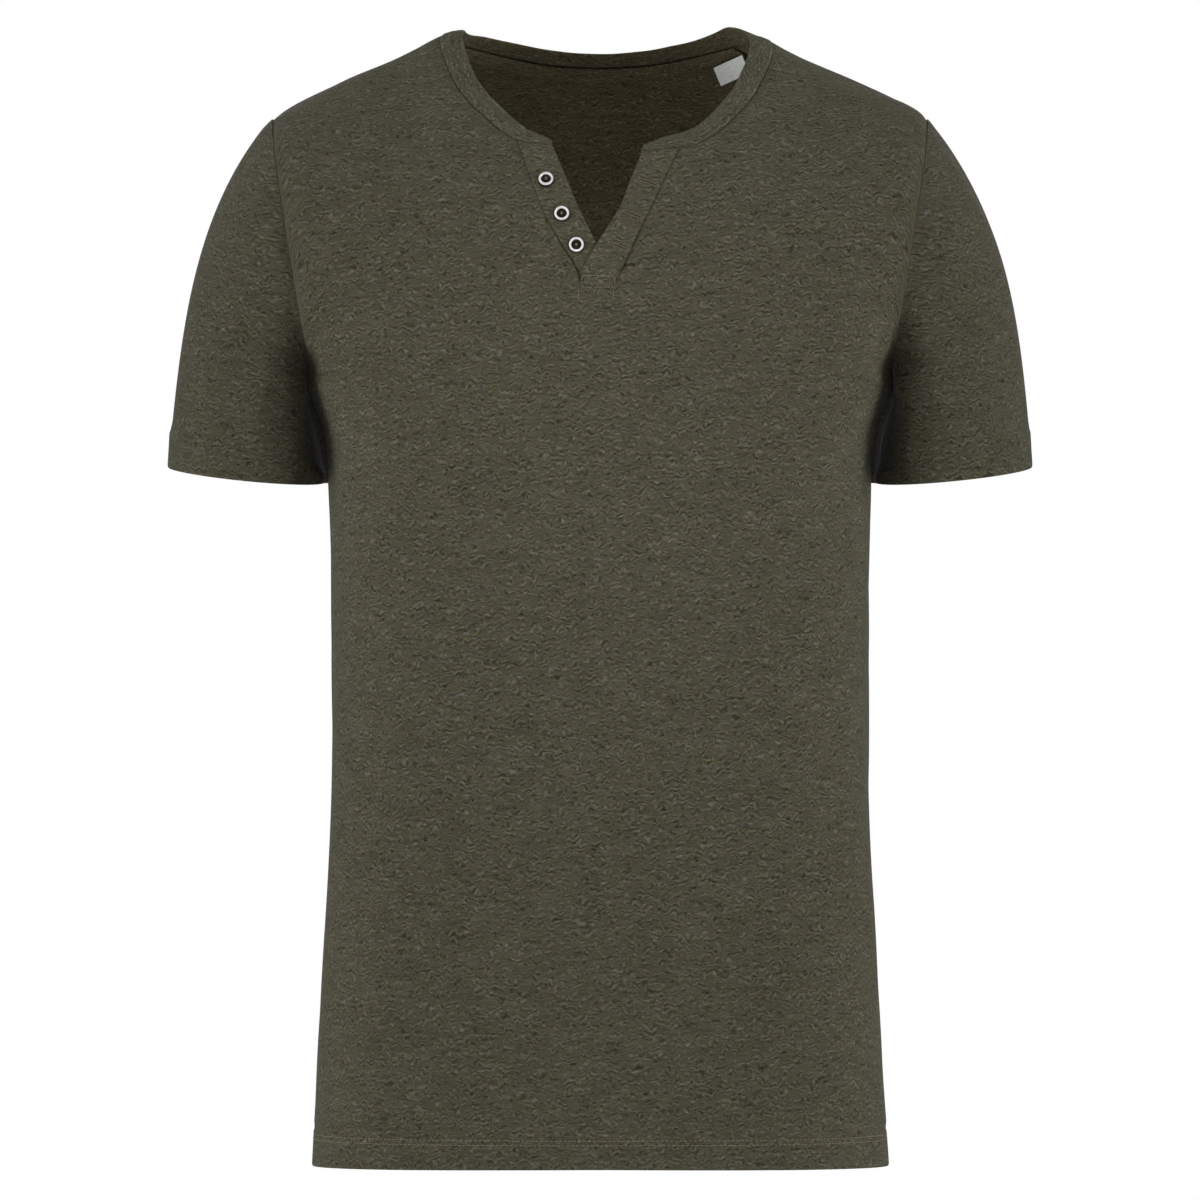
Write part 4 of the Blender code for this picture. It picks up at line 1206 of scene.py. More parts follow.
def tape_place(share):
    half = BACK_NECK[:-1]
    knots = [(-p.x, p.z) for p in reversed(half)] + [(p.x, p.z) for p in half]
    x, z = below_neck(*curve(knots, step=0.004).T, TAPE_START + TAPE_WIDTH * share)
    points, outs = raised(x, z, BACK, -TAPE_STAND_OFF)
    return points, -outs


def label_place(share):
    """Points down the label from its sewn edge, at this share of the way across it."""
    ends = raised(*np.array(LABEL_TOP).T, BACK, -LABEL_STAND_OFF)[0]
    top = mix(*ends, share)
    down = np.linspace(0, 1, 9)[:, None]
    inwards = unit(np.cross(LABEL_HANG, ends[1] - ends[0]))
    inwards = inwards * -np.sign(inwards[1])
    curl = 0.0006 * np.sin(math.pi * share) * down - 0.0004 * down**2
    points = top + LABEL_HANG * down + inwards * curl
    return points, np.broadcast_to(inwards, points.shape)


# ---- Sewing ---------------------------------------------------------------------------------------


class Thread:
    """Stitches gathered into one mesh, each a short cord that dips in at both ends."""

    def __init__(self):
        self.points, self.faces = [], []

    def stitch(self, start, end, out, radius):
        """One stitch from start to end, lying on the cloth whose outward way is out."""
        start, end, out = (np.asarray(v, float) for v in (start, end, out))
        along = unit(end - start)
        across = unit(np.cross(along, out))
        up = np.cross(across, along)
        first = len(self.points)
        for share, lift, girth in STITCH_PROFILE:
            centre = mix(start, end, share) + up * lift * radius
            for side in range(STITCH_SIDES):
                angle = 2 * math.pi * side / STITCH_SIDES
                offset = across * math.cos(angle) + up * math.sin(angle)
                self.points.append(tuple(centre + offset * radius * girth))
        ends = []
        for ring in range(len(STITCH_PROFILE)):
            low = first + ring * STITCH_SIDES
            ends.append(tuple(range(low, low + STITCH_SIDES)))
        for low, high in zip(ends, ends[1:]):
            for side in range(STITCH_SIDES):
                following = (side + 1) % STITCH_SIDES
                self.faces.append((low[side], low[following], high[following], high[side]))
        self.faces += [ends[0][::-1], ends[-1]]

    def row(self, points, outs, length, radius, filled=0.78):
        """A row of stitches along a course, each filling this share of its step."""
        run = run_along(points)
        count = max(1, round(run[-1] / length))
        marks = np.linspace(0, run[-1], count + 1)
        half = filled * (marks[1] - marks[0]) / 2
        for middle in (marks[1:] + marks[:-1]) / 2:
            ends = (at_run(middle + shift, run, points) for shift in (-half, half))
            self.stitch(*ends, at_run(middle, run, outs), radius)

    def make(self, name, material):
        thing = new_object(name, self.points, self.faces, material)
        align_faces(thing.data, merge=False)
        shade(thing, SEWING_EDGE)
        return thing


def hem_course(side, up):
    """A row of points this far above a panel's hem, on the cloth's face, and their outward ways."""
    z_side = HEM_SIDE_Z + up
    lift = HEM_CENTRE_RISE * max(1 - up / HEM_DEPTH, 0.0)
    half_width = float(smooth(TRUNK, "z", "half_width", z_side))
    turn = np.linspace(-math.pi / 2, math.pi / 2, 241)
    share = np.sign(turn) * np.abs(np.sin(turn)) ** (2 / ROUNDNESS)
    x = share * half_width * 0.9995
    z = z_side + lift * (1 - np.abs(np.sin(turn)))
    return raised(x, z, side, crease_height(x, z, side) + cloth_sizes().hem_wall / 2)


def sleeve_course(hand, up):
    share = 1 - up / SLEEVE_LENGTH
    shares = np.array([share - 0.01, share, share + 0.01])
    rings, turn = sleeve_surface(shares)
    normals = sleeve_normals(rings)[1]
    rise = sleeve_crease_height(turn, shares, hand)[1] + cloth_sizes().hem_wall / 2
    flip = np.array((hand, 1.0, 1.0))
    return (rings[1] + normals * rise[:, None]) * flip, normals * flip


def strip_point(x, z, lift):
    """A point on the over strip's face, lifted, and its outward way."""
    x, z = np.atleast_1d(np.asarray(x, float)), np.atleast_1d(np.asarray(z, float))
    return raised(x, z, FRONT, strip_level(z, OVER_LIFT) + STRIP_FACE + lift)


def box_course():
    """The closed, rounded box of stitches that holds the strips together at the slit's bottom."""
    half_width, half_height = BOX_WIDTH / 2, (BOX_TOP_Z - BOX_BOTTOM_Z) / 2
    corners = []
    for quarter, (sx, sz) in enumerate(((1, 1), (-1, 1), (-1, -1), (1, -1))):
        centre = np.array((sx * (half_width - BOX_CORNER), sz * (half_height - BOX_CORNER)))
        for angle in np.radians(np.linspace(0, 90, 5) + 90 * quarter):
            way = np.array((math.cos(angle), math.sin(angle)))
            corners.append(centre + BOX_CORNER * way)
    corners.append(corners[0])
    points = np.array(corners) + np.array((BOX_X, (BOX_TOP_Z + BOX_BOTTOM_Z) / 2))
    return spread_evenly(points, 0.0005)


# ---- Materials ------------------------------------------------------------------------------------


# A Mix node's colour sockets, which share their names with its other kinds.
COLOUR_A, COLOUR_B = 6, 7


def combined(operation, flipped=False):
    """A Signal's method that makes a Math node for this operation."""

    def method(self, *others):
        node = self.tree.nodes.new("ShaderNodeMath")
        node.operation = operation
        for slot, value in zip(node.inputs, (*others, self) if flipped else (self, *others)):
            feed(self.tree, slot, value)
        return Signal(self.tree, node.outputs[0])

    return method


class Signal:
    """A shader socket that takes part in sums."""

    def __init__(self, tree, socket):
        self.tree, self.socket = tree, socket

    __add__ = __radd__ = combined("ADD")
    __sub__, __rsub__ = combined("SUBTRACT"), combined("SUBTRACT", flipped=True)
    __mul__ = __rmul__ = combined("MULTIPLY")
    __truediv__, __abs__ = combined("DIVIDE"), combined("ABSOLUTE")
    sine, part = combined("SINE"), combined("FRACT")

    def ramp(self, low, high, course="LINEAR"):
        """0 at low, 1 at high, straight between."""
        node = self.tree.nodes.new("ShaderNodeMapRange")
        node.interpolation_type = course
        feed(self.tree, node.inputs["Value"], self)
        node.inputs["From Min"].default_value = low
        node.inputs["From Max"].default_value = high
        return Signal(self.tree, node.outputs["Result"])

    def within(self, low, high):
        """0 below low, 1 above high, eased between."""
        return self.ramp(low, high, "SMOOTHSTEP")


def feed(tree, slot, value):
    if isinstance(value, Signal):
        tree.links.new(value.socket, slot)
    elif hasattr(value, "__len__") and len(value) == 3 and slot.type == "RGBA":
        slot.default_value = (*value, 1.0)
    else:
        slot.default_value = value


class Finish:
    """A material in the making: its Principled shader, and one way to add any node."""

    def __init__(self, name, roughness, sheen=0.0, coat=0.0, specular=0.2):
        self.material = bpy.data.materials.new(name)
        self.material.use_nodes = True
        self.tree = self.material.node_tree
        self.shader = self.tree.nodes["Principled BSDF"]
        self.set("Roughness", roughness)
        self.set("Sheen Weight", sheen)
        self.set("Sheen Roughness", 0.5)
        self.set("Specular IOR Level", specular)
        self.set("Coat Weight", coat)

    def set(self, name, value):
        feed(self.tree, self.shader.inputs[name], value)

    def node(self, kind, settings=(), output=0, **inputs):
        """Adds a node, sets it up, feeds its sockets and gives one of its outputs. A socket's name
        is written with _ for each space."""
        node = self.tree.nodes.new("ShaderNode" + kind)
        for key, value in dict(settings).items():
            setattr(node, key, value)
        for key, value in inputs.items():
            feed(self.tree, node.inputs[key.replace("_", " ")], value)
        return Signal(self.tree, node.outputs[output])

    def cloth_uv(self):
        """The cloth coordinates: metres round, metres up."""
        where = self.node("UVMap", {"uv_map": "Cloth"})
        return self.split(where, "XYZ")[:2]

    def split(self, whole, kind="Color"):
        """The three parts of a colour or a vector."""
        split = self.tree.nodes.new("ShaderNodeSeparate" + kind)
        feed(self.tree, split.inputs[0], whole)
        return [Signal(self.tree, part) for part in split.outputs]

    def specks(self, scale, **settings):
        """Noise fixed to the object, with this many specks to a metre."""
        where = self.node("TexCoord", output="Object")
        where = self.node("VectorMath", {"operation": "SCALE"}, Vector=where, Scale=scale)
        return self.noise(where, **settings)

    def vector(self, x, y, z=0.0):
        return self.node("CombineXYZ", X=x, Y=y, Z=z)

    def noise(self, vector, detail=2.0, roughness=0.5, distortion=0.0):
        return self.node(
            "TexNoise", {"noise_dimensions": "3D"}, "Fac", Vector=vector, Scale=1.0,
            Detail=detail, Roughness=roughness, Distortion=distortion,
        )

    def blend(self, share, a, b):
        node = self.tree.nodes.new("ShaderNodeMix")
        node.data_type = "RGBA"
        feed(self.tree, node.inputs["Factor"], share)
        feed(self.tree, node.inputs[COLOUR_A], a)
        feed(self.tree, node.inputs[COLOUR_B], b)
        return Signal(self.tree, node.outputs[2])

    def mottle(self, noise, base, other):
        self.set("Base Color", self.blend(noise, other, base))

    def bump(self, height, distance, strength=1.0):
        normal = self.node("Bump", output="Normal", Height=height, Distance=distance, Strength=strength)
        self.set("Normal", normal)


def dimmed(base, share):
    """A colour times a share, or times one share for each of red, green and blue."""
    return tuple(np.array(base) * share)


# Wavy fibres lie along the courses: how far apart, how strongly bent, how plain, and a seed.
Strand = namedtuple("Strand", "pitch bends strength seed")
STRANDS = listed(Strand, (0.0037, 21.0, 0.430, 41.7), (0.0030, 23.0, 0.390, 51.3))
KNIT_WALE, KNIT_COURSE = 0.00087, 0.00071
# Its noises: how many fibres to a metre along the courses and up them, a seed, how fine, how bent.
Fibres = namedtuple("Fibres", "along up seed detail distortion")
WANDER, FINE, MID, CLOUD, WARM, COOL = listed(
    Fibres,
    (230.0, 230.0, 5.3, 1.0, 0.0), (300.0, 600.0, 3.37, 1.0, 0.8), (70.0, 430.0, 8.71, 1.0, 0.6),
    (45.0, 85.0, 15.13, 2.0, 0.0), (480.0, 760.0, 33.1, 1.0, 0.0), (480.0, 760.0, 71.9, 1.0, 0.0),
)
PHASE, PLACE = listed(Fibres, (190.0, 130.0, 0.0, 1.0, 0.0), (240.0, 340.0, 7.7, 1.0, 0.0))
# How far the courses wander, what each noise adds to the tone, and what tones are pale and deep.
WANDER_ROUND, WANDER_UP = 0.0021, 0.0026
FINE_TONE, MID_TONE, CLOUD_TONE = 0.42, 0.44, 0.26
STRAND_SHOWN, PALE_TONE, DEEP_TONE = (0.45, 0.61), 0.90, -0.65
WARM_SHIFT, COOL_SHIFT = 0.80, 1.45


def heather(name, shade):
    """Heather jersey: short wavy pale and dark fibres that lie along the courses, each a little
    warmer or cooler than the next, over a faint knit relief. The shade is for red, green, blue."""
    colours = cloth_colours()
    finish = Finish(name, roughness=0.95, sheen=0.06)
    u, v = finish.cloth_uv()

    def fibres(kind, seed=0.0):
        return finish.noise(
            finish.vector(u * kind.along, v * kind.up, kind.seed + seed),
            detail=kind.detail, distortion=kind.distortion,
        )

    wander = fibres(WANDER) - 0.5
    u, v = u + wander * WANDER_ROUND, v + wander * WANDER_UP
    fine = fibres(FINE)
    tone = (fine - 0.5) * FINE_TONE + (fibres(MID) - 0.5) * MID_TONE
    tone = tone + (fibres(CLOUD) - 0.5) * CLOUD_TONE
    for strand in STRANDS:
        phase, place = fibres(PHASE, strand.seed), fibres(PLACE, strand.seed)
        wave = (v * (2 * math.pi / strand.pitch) + phase * strand.bends).sine()
        tone = tone + wave * abs(wave) * place.within(*STRAND_SHOWN) * strand.strength
    warm, cool = fibres(WARM) - 0.5, fibres(COOL) - 0.5
    ground, pale, deep = (
        dimmed(fibre, shade) for fibre in (colours.jersey, colours.fleck_light, colours.fleck_dark)
    )
    cloth = finish.blend(tone.ramp(0.0, PALE_TONE), ground, pale)
    cloth = finish.blend(tone.ramp(0.0, DEEP_TONE), cloth, deep)
    red, green, blue = finish.split(cloth)
    red, blue = red * (1.0 + warm * WARM_SHIFT), blue * (1.0 + cool * COOL_SHIFT)
    finish.set("Base Color", finish.node("CombineColor", Red=red, Green=green, Blue=blue))
    rib = abs((u / KNIT_WALE).part() - 0.5)
    loops = ((v / KNIT_COURSE + rib * 1.6) * (2 * math.pi)).sine()
    finish.bump(tone * 0.7 - rib * 0.25 + loops * 0.06, 0.00020, 0.7)
    finish.set("Roughness", 0.9 + fine * 0.08)
    return finish.material


def thread_finish(name, base):
    """Twisted thread, grained along."""
    finish = Finish(name, roughness=0.6, sheen=0.1)
    grain = finish.specks(2600.0)
    finish.mottle(grain.within(0.35, 0.65), base, dimmed(base, 0.6))
    finish.bump(grain, 0.00008, 0.6)
    return finish.material


def label_finish(name, base):
    """Pale woven label: fine crossing ribs."""
    finish = Finish(name, roughness=0.7, sheen=0.15)
    u, v = finish.cloth_uv()
    weave = (u * 14000.0).sine() * (v * 14000.0).sine()
    patch = finish.noise(finish.vector(u * 600.0, v * 600.0), detail=2.0)
    finish.mottle(patch.within(0.3, 0.7), base, dimmed(base, 0.86))
    finish.bump(weave + patch, 0.00006, 0.5)
    return finish.material


def pearl_finish(name, base):
    finish = Finish(name, roughness=0.22, coat=0.5, specular=0.5)
    cloud = finish.specks(420.0, detail=3.0, distortion=0.8)
    finish.mottle(cloud.within(0.35, 0.7), base, dimmed(base, 0.9))
    finish.set("Roughness", 0.18 + cloud * 0.16)
    return finish.material


def mottled(name, base, other, roughness, scale):
    """Plain, between two colours by a slow noise."""
    finish = Finish(name, roughness=roughness)
    finish.mottle(finish.specks(scale), other, base)
    return finish.material


MATERIALS = {}
# The jerseys, and the shade of each. The sleeves' darker shade is painted shade; the trims' lighter
# shade is painted light, and so are the reverse's and the tape's, which are also warmed with a painted
# tint of shade.
JERSEY, LIT_TRIMS, SHADED_SLEEVES = "Heather jersey", "Heather jersey trims", "Heather jersey sleeves"
# The reverse and the tape are lighter, warmer copies of the jersey: painted light.
LIT_REVERSE, TAPE = "Heather jersey reverse", "Jersey tape"
SHADES = {
    JERSEY: (1.00, 1.00, 1.00), LIT_TRIMS: (1.07, 1.07, 1.07), SHADED_SLEEVES: (0.90, 0.90, 0.90),
    LIT_REVERSE: (1.15, 1.04, 0.92), TAPE: (1.30, 1.16, 1.00),
}


def kept(name, make, *settings):
    """The material of this name, made the first time it is asked for."""
    if name not in MATERIALS:
        MATERIALS[name] = make(name, *settings)
    return MATERIALS[name]


def knit(name):
    """The jersey of this name."""
    return kept(name, heather, SHADES[name])


def seam_thread():
    return kept("Seam thread", thread_finish, tuple(cloth_colours().thread))


def tan_thread():
    return kept("Tan thread", thread_finish, tuple(cloth_colours().hole_thread))


def label_cloth():
    return kept("Bare woven label", label_finish, tuple(cloth_colours().label))


def pearl():
    return kept("Pearl", pearl_finish, tuple(cloth_colours().button))


def dark_well_and_painted_shadow():
    base = tuple(cloth_colours().button_well_and_painted_shadow)
    return kept("Button well", mottled, base, dimmed(base, 1.8), 0.35, 900.0)


# Near-black mottled with dark grey: the painted shadow inside a buttonhole's slit.
def slit_shadow():
    dark, grey = (0.010, 0.008, 0.005), (0.028, 0.024, 0.016)
    return kept("Buttonhole slit", mottled, dark, grey, 0.95, 1800.0)


def studio_floor():
    base = tuple(cloth_colours().floor)
    return kept("Studio floor", mottled, base, dimmed(base, 0.98), 0.7, 0.8)


# ---- Buttons --------------------------------------------------------------------------------------

# From the middle of a button's back out over its rim and into the well.
# The foot's flange reaches past the rim in the well's dark colour: a thin painted shadow round the
# button.
FOOT_CUT = (
    (0.00000, 0.00000), (0.00520, 0.00000), (0.00545, 0.00018), (0.00535, 0.00040), (0.00455, 0.00060),
)
BUTTON_CUT = (
    (0.00455, 0.00060), (0.00463, 0.00080), (0.00462, 0.00120), (0.00450, 0.00165), (0.00425, 0.00196),
    (0.00395, 0.00206), (0.00365, 0.00196), (0.00340, 0.00165), (0.00328, 0.00120), (0.00318, 0.00080),
)
WELL_CUT = (
    (0.00318, 0.00080), (0.00260, 0.00060), (0.00200, 0.00062), (0.00160, 0.00088), (0.00095, 0.00092),
    (0.00000, 0.00090),
)
BUTTON_STEPS = 48
# The crossed thread: its ends from the middle, their height, how far apart its two strands lie.
THREAD_HOLES, THREAD_HEIGHT, THREAD_SPREAD, THREAD_RADIUS = 0.00062, 0.00105, 0.00022, 0.00030


def turned(profile, steps):
    """Points and faces of a profile spun round the vertical; its ends on the axis close it."""
    points, faces, rings = [], [], []
    for radius, height in profile:
        if radius == 0.0:
            rings.append([len(points)] * steps)
            points.append((0.0, 0.0, height))
            continue
        rings.append(list(range(len(points), len(points) + steps)))
        for step in range(steps):
            angle = 2 * math.pi * step / steps
            points.append((radius * math.cos(angle), radius * math.sin(angle), height))
    for low, high in zip(rings, rings[1:]):
        for step in range(steps):
            following = (step + 1) % steps
            loop = (low[step], low[following], high[following], high[step])
            faces.append(tuple(dict.fromkeys(loop)))
    return points, faces


def make_button(name, x, z):
    """A pearl rim round a dark well, on a dark foot that rings it as a painted shadow, sewn on with
    crossed tan thread.
    """
    x, z = np.array([x]), np.array([z])
    out = Vector(outward(x, z, FRONT)[0])
    level = float(strip_level(z, -UNDER_SINK)[0]) + STRIP_WALL / 2 + SEAM_GAP
    seat = Vector(trunk(x, z, FRONT)[0]) + out * level
    turn = out.to_track_quat("Z", "Y")
    points, faces, finishes = [], [], []
    # The rim is pearl; the well and the foot take the dark colour, the foot's as a painted shadow.
    for cut, finish in ((BUTTON_CUT, 0), (WELL_CUT, 1), (FOOT_CUT, 1)):
        ring_points, ring_faces = turned(cut, BUTTON_STEPS)
        faces += [tuple(len(points) + n for n in face) for face in ring_faces]
        finishes += [finish] * len(ring_faces)
        points += [tuple(seat + turn @ Vector(point)) for point in ring_points]
    button = new_object(name, points, faces, pearl(), dark_well_and_painted_shadow())
    button.data.polygons.foreach_set("material_index", finishes)
    align_faces(button.data)
    shade(button)
    thread = Thread()
    for sx, sz in ((1, 1), (1, -1)):
        start, end = (
            seat + turn @ Vector((s * sx * THREAD_HOLES, s * sz * THREAD_HOLES, THREAD_HEIGHT))
            for s in (-1, 1)
        )
        for shift in (-1, 1):
            aside = (end - start).cross(out).normalized() * THREAD_SPREAD * shift
            thread.stitch(start + aside, end + aside, out, THREAD_RADIUS)
    return button, thread.make(name + "_thread", tan_thread())


# ---- Operators ------------------------------------------------------------------------------------

# Where each soft box stands, what it faces (the shirt's middle where nothing is said), its size,
# and the name of its power. Those beside the shirt stand at the camera's height.
SoftBox = namedtuple("SoftBox", "name place target size power")
SOFT_BOXES = listed(
    SoftBox,
    ("Front box", (0.0, -3.0, -0.20), (0.0, -0.1, -0.24), (0.3, 0.3), "front_light"),
    ("Back box", (0.0, 4.6, 0.9), None, (3.0, 2.4), "back_light"),
    ("Top box", (0.0, -0.3, 3.0), None, (2.0, 2.0), "top_light"),
    ("Neck box", (0.0, -0.05, -0.25), (0.0, 0.11, -0.08), (0.16, 0.06), "neck_light"),
    ("Side box -1", (-3.06, -1.49), None, (1.2, 2.4), "side_light"),
    ("Side box 1", (3.06, -1.49), None, (1.2, 2.4), "side_light"),
)
FRONT_SPREAD, FLOOR_RADIUS, FLOOR_Z = 12.0, 6.0, -1.45


def trim(piece):
    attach(piece, BODY)


def dress(piece, node):
    """What the frame needs to know of a cloth piece that stands for a solid."""
    trim(piece)
    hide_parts(node)


def hem_sewing(name, courses):
    """Stitches along each of the courses, in the hems' thread."""
    cloth = cloth_sizes()
    thread = Thread()
    for points, outs in courses:
        thread.row(points, outs, cloth.stitch_length, cloth.thread / 2)
    sewing = thread.make(name, seam_thread())
    trim(sewing)
    return sewing


class HENLEY_OT_front(bpy.types.Operator):
    """Cut the front, with its neck and slit, and sew its hem"""

    bl_idname = "henley.front"
    bl_label = "Front"

    def execute(self, context):
        panel = make_panel("Front_panel", FRONT, knit(JERSEY))
        sewing = hem_sewing("Front_hem_stitches", [hem_course(FRONT, up) for up in HEM_STITCHES])
        dress(panel, "front")
        return {"FINISHED"}


class HENLEY_OT_back(bpy.types.Operator):
    """Cut the back and sew its hem"""

    bl_idname = "henley.back"
    bl_label = "Back"

    def execute(self, context):
        panel = make_panel("Back_panel", BACK, knit(JERSEY))
        sewing = hem_sewing("Back_hem_stitches", [hem_course(BACK, up) for up in HEM_STITCHES])
        dress(panel, "back")
        return {"FINISHED"}


class HENLEY_OT_sleeves(bpy.types.Operator):
    """Set in both sleeves and sew their hems"""

    bl_idname = "henley.sleeves"
    bl_label = "Sleeves"

    def execute(self, context):
        for node, hand in (("sleeve_left", WEARERS_LEFT), ("sleeve_right", WEARERS_RIGHT)):
            # The sleeves take a darker copy of the jersey: painted shade.
            sleeve = make_sleeve(node.capitalize() + "_cloth", hand, knit(SHADED_SLEEVES))
            courses = [sleeve_course(hand, up) for up in SLEEVE_STITCHES]
            sewing = hem_sewing(node.capitalize() + "_hem_stitches", courses)
            dress(sleeve, node)
        return {"FINISHED"}


class HENLEY_OT_neckband(bpy.types.Operator):
    """Sew the doubled band round the neck"""

    bl_idname = "henley.neckband"
    bl_label = "Neckband"

    def execute(self, context):
        # The band takes a lighter copy of the jersey: painted light.
        band = make_neckband("Neckband_cloth", knit(LIT_TRIMS))
        dress(band, "neckband")
        return {"FINISHED"}


class HENLEY_OT_placket(bpy.types.Operator):
    """Sew in both placket strips, the buttonholes and the box at the slit's bottom"""

    bl_idname = "henley.placket"
    bl_label = "Placket"

    def execute(self, context):
        # Both strips take the lighter copy of the jersey: painted light.
        under = make_placket("Placket_under_cloth", WEARERS_RIGHT, knit(LIT_TRIMS))
        dress(under, "placket_under")
        over = make_placket("Placket_over_cloth", WEARERS_LEFT, knit(LIT_TRIMS))
        box = self.box_sewing()
        dress(over, "placket_over")
        for number, hole in enumerate(BUTTON_HOLES, start=1):
            self.buttonhole(number, hole)
        self.frayed_end()
        return {"FINISHED"}

    def frayed_end(self):
        """Loose tan thread ends at the over strip's top corner."""
        thread = Thread()
        for end in FRAYED_ENDS:
            x, z = end.x + np.array((0.0, end.across)), end.z + np.array((0.0, end.up))
            points, outs = strip_point(x, z, 0.0)
            points[1] += outs[1] * FRAY_LIFT
            thread.stitch(points[0], points[1], outs[0], FRAY_RADIUS)
        trim(thread.make("Placket_frayed_thread", tan_thread()))

    def box_sewing(self):
        cloth = cloth_sizes()
        course = box_course()
        points, outs = strip_point(course[:, 0], course[:, 1], BOX_LIFT)
        below = course[:, 1] < SLIT_Z
        points[below] -= outs[below] * (OVER_LIFT + STRIP_FACE - cloth.wall / 2)
        thread = Thread()
        thread.row(points, outs, cloth.stitch_length * 0.62, BOX_THREAD / 2)
        for x in BOX_TAILS:
            z = np.linspace(*BOX_TAIL_ENDS, 9)
            rise = crease_height(x + 0 * z, z, FRONT) + cloth.wall / 2
            points, outs = raised(x + 0 * z, z, FRONT, rise)
            thread.row(points, outs, cloth.stitch_length * 0.8, cloth.thread / 2)
        sewing = thread.make("Placket_box_stitches", seam_thread())
        trim(sewing)
        return sewing

    def buttonhole(self, number, hole):
        """Two rows of close tan stitches beside the slit's painted shadow, with a bar at each end."""
        heading = math.radians(hole.heading)
        way = np.array((math.cos(heading), math.sin(heading)))
        side = np.array((-way[1], way[0]))
        middle = np.array((hole.x, hole.z))
        thread = Thread()

        def sewn(start, end, radius):
            points, outs = strip_point(*np.stack([start, end], axis=-1), 0.0)
            thread.stitch(points[0], points[1], outs[0], radius)

        for step in range(HOLE_STITCHES):
            share = (step + 0.5) / HOLE_STITCHES - 0.5
            along = middle + way * HOLE_LENGTH * share
            reach = HOLE_WIDTH * (HOLE_REACH + HOLE_BULGE * math.sqrt(1 - 4 * share * share))
            for hand in (-1, 1):
                inner = along + side * hand * reach * HOLE_START
                outer = along + side * hand * reach + way * HOLE_SLANT
                sewn(inner, outer, HOLE_THREAD)
        for end in (-0.5, 0.5):
            for step in (-1, 0, 1):
                across = middle + way * (HOLE_LENGTH * end + step * BAR_STEP)
                half = side * HOLE_WIDTH * BAR_HALF_WIDTH
                sewn(across - half, across + half, BAR_THREAD)
        sewing = thread.make(f"Buttonhole_{number}_stitches", tan_thread())
        trim(sewing)
        self.slit_painted_shadow(number, middle, way, side)

    def slit_painted_shadow(self, number, middle, way, side):
        """The painted shadow in the cut between a buttonhole's two rows: a thin raised lens of
        near-black.
        """
        shares = np.linspace(-1, 1, 13)
        reach = np.sqrt(np.maximum(1 - shares**2, 0.02))
        grid = []
        for across, lift in ((-1, CUT_FALL), (0, CUT_RISE), (1, CUT_FALL)):
            course = middle + way * HOLE_LENGTH * CUT_REACH * shares[:, None]
            course = course + side * HOLE_WIDTH * CUT_WIDTH * across * reach[:, None]
            grid.append(strip_point(*course.T, lift)[0])
        sheet = Sheet()
        sheet.add_grid(np.stack(grid), np.zeros((len(grid), len(shares), 2)), 1.0)
        cut = sheet.make(f"Buttonhole_{number}_slit", slit_shadow())
        turn_out(cut, lambda centre: (centre.x, 0.0, centre.z))
        add_wall(cut, CUT_WALL, -1.0)
        shade(cut, SEWING_EDGE)
        trim(cut)


class HENLEY_OT_tape(bpy.types.Operator):
    """Sew the tape over the back's neck seam, and the bare label under it"""

    bl_idname = "henley.tape"
    bl_label = "Neck tape and label"

    def execute(self, context):
        cloth = cloth_sizes()
        # The tape's jersey is lighter and warmer than the reverse's: painted light, with a painted warm
        # tint of shade.
        tape = ribbon("Neck_tape_cloth", tape_place, TAPE_CUT, TAPE_WIDTH, knit(TAPE))
        thread = Thread()
        for share in (0.12, 0.88):
            points, outs = tape_place(share)
            thread.row(points + outs * TAPE_FACE, outs, cloth.stitch_length, cloth.thread / 2)
        # Its stitches take the same lightened tape jersey: painted light.
        sewing = thread.make("Neck_tape_stitches", knit(TAPE))
        trim(sewing)
        dress(tape, "neck_tape")
        label = ribbon("Bare_label", label_place, LABEL_CUT, LABEL_LENGTH, label_cloth())
        dress(label, "size_label")
        return {"FINISHED"}


class HENLEY_OT_buttons(bpy.types.Operator):
    """Sew on the three buttons"""

    bl_idname = "henley.buttons"
    bl_label = "Buttons"

    def execute(self, context):
        for number, (x, z) in enumerate(BUTTONS, start=1):
            button, thread = make_button(f"Button_{number}_pearl", x, z)
            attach(button, BODY)
            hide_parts(f"button_{number}")
            trim(thread)
        return {"FINISHED"}


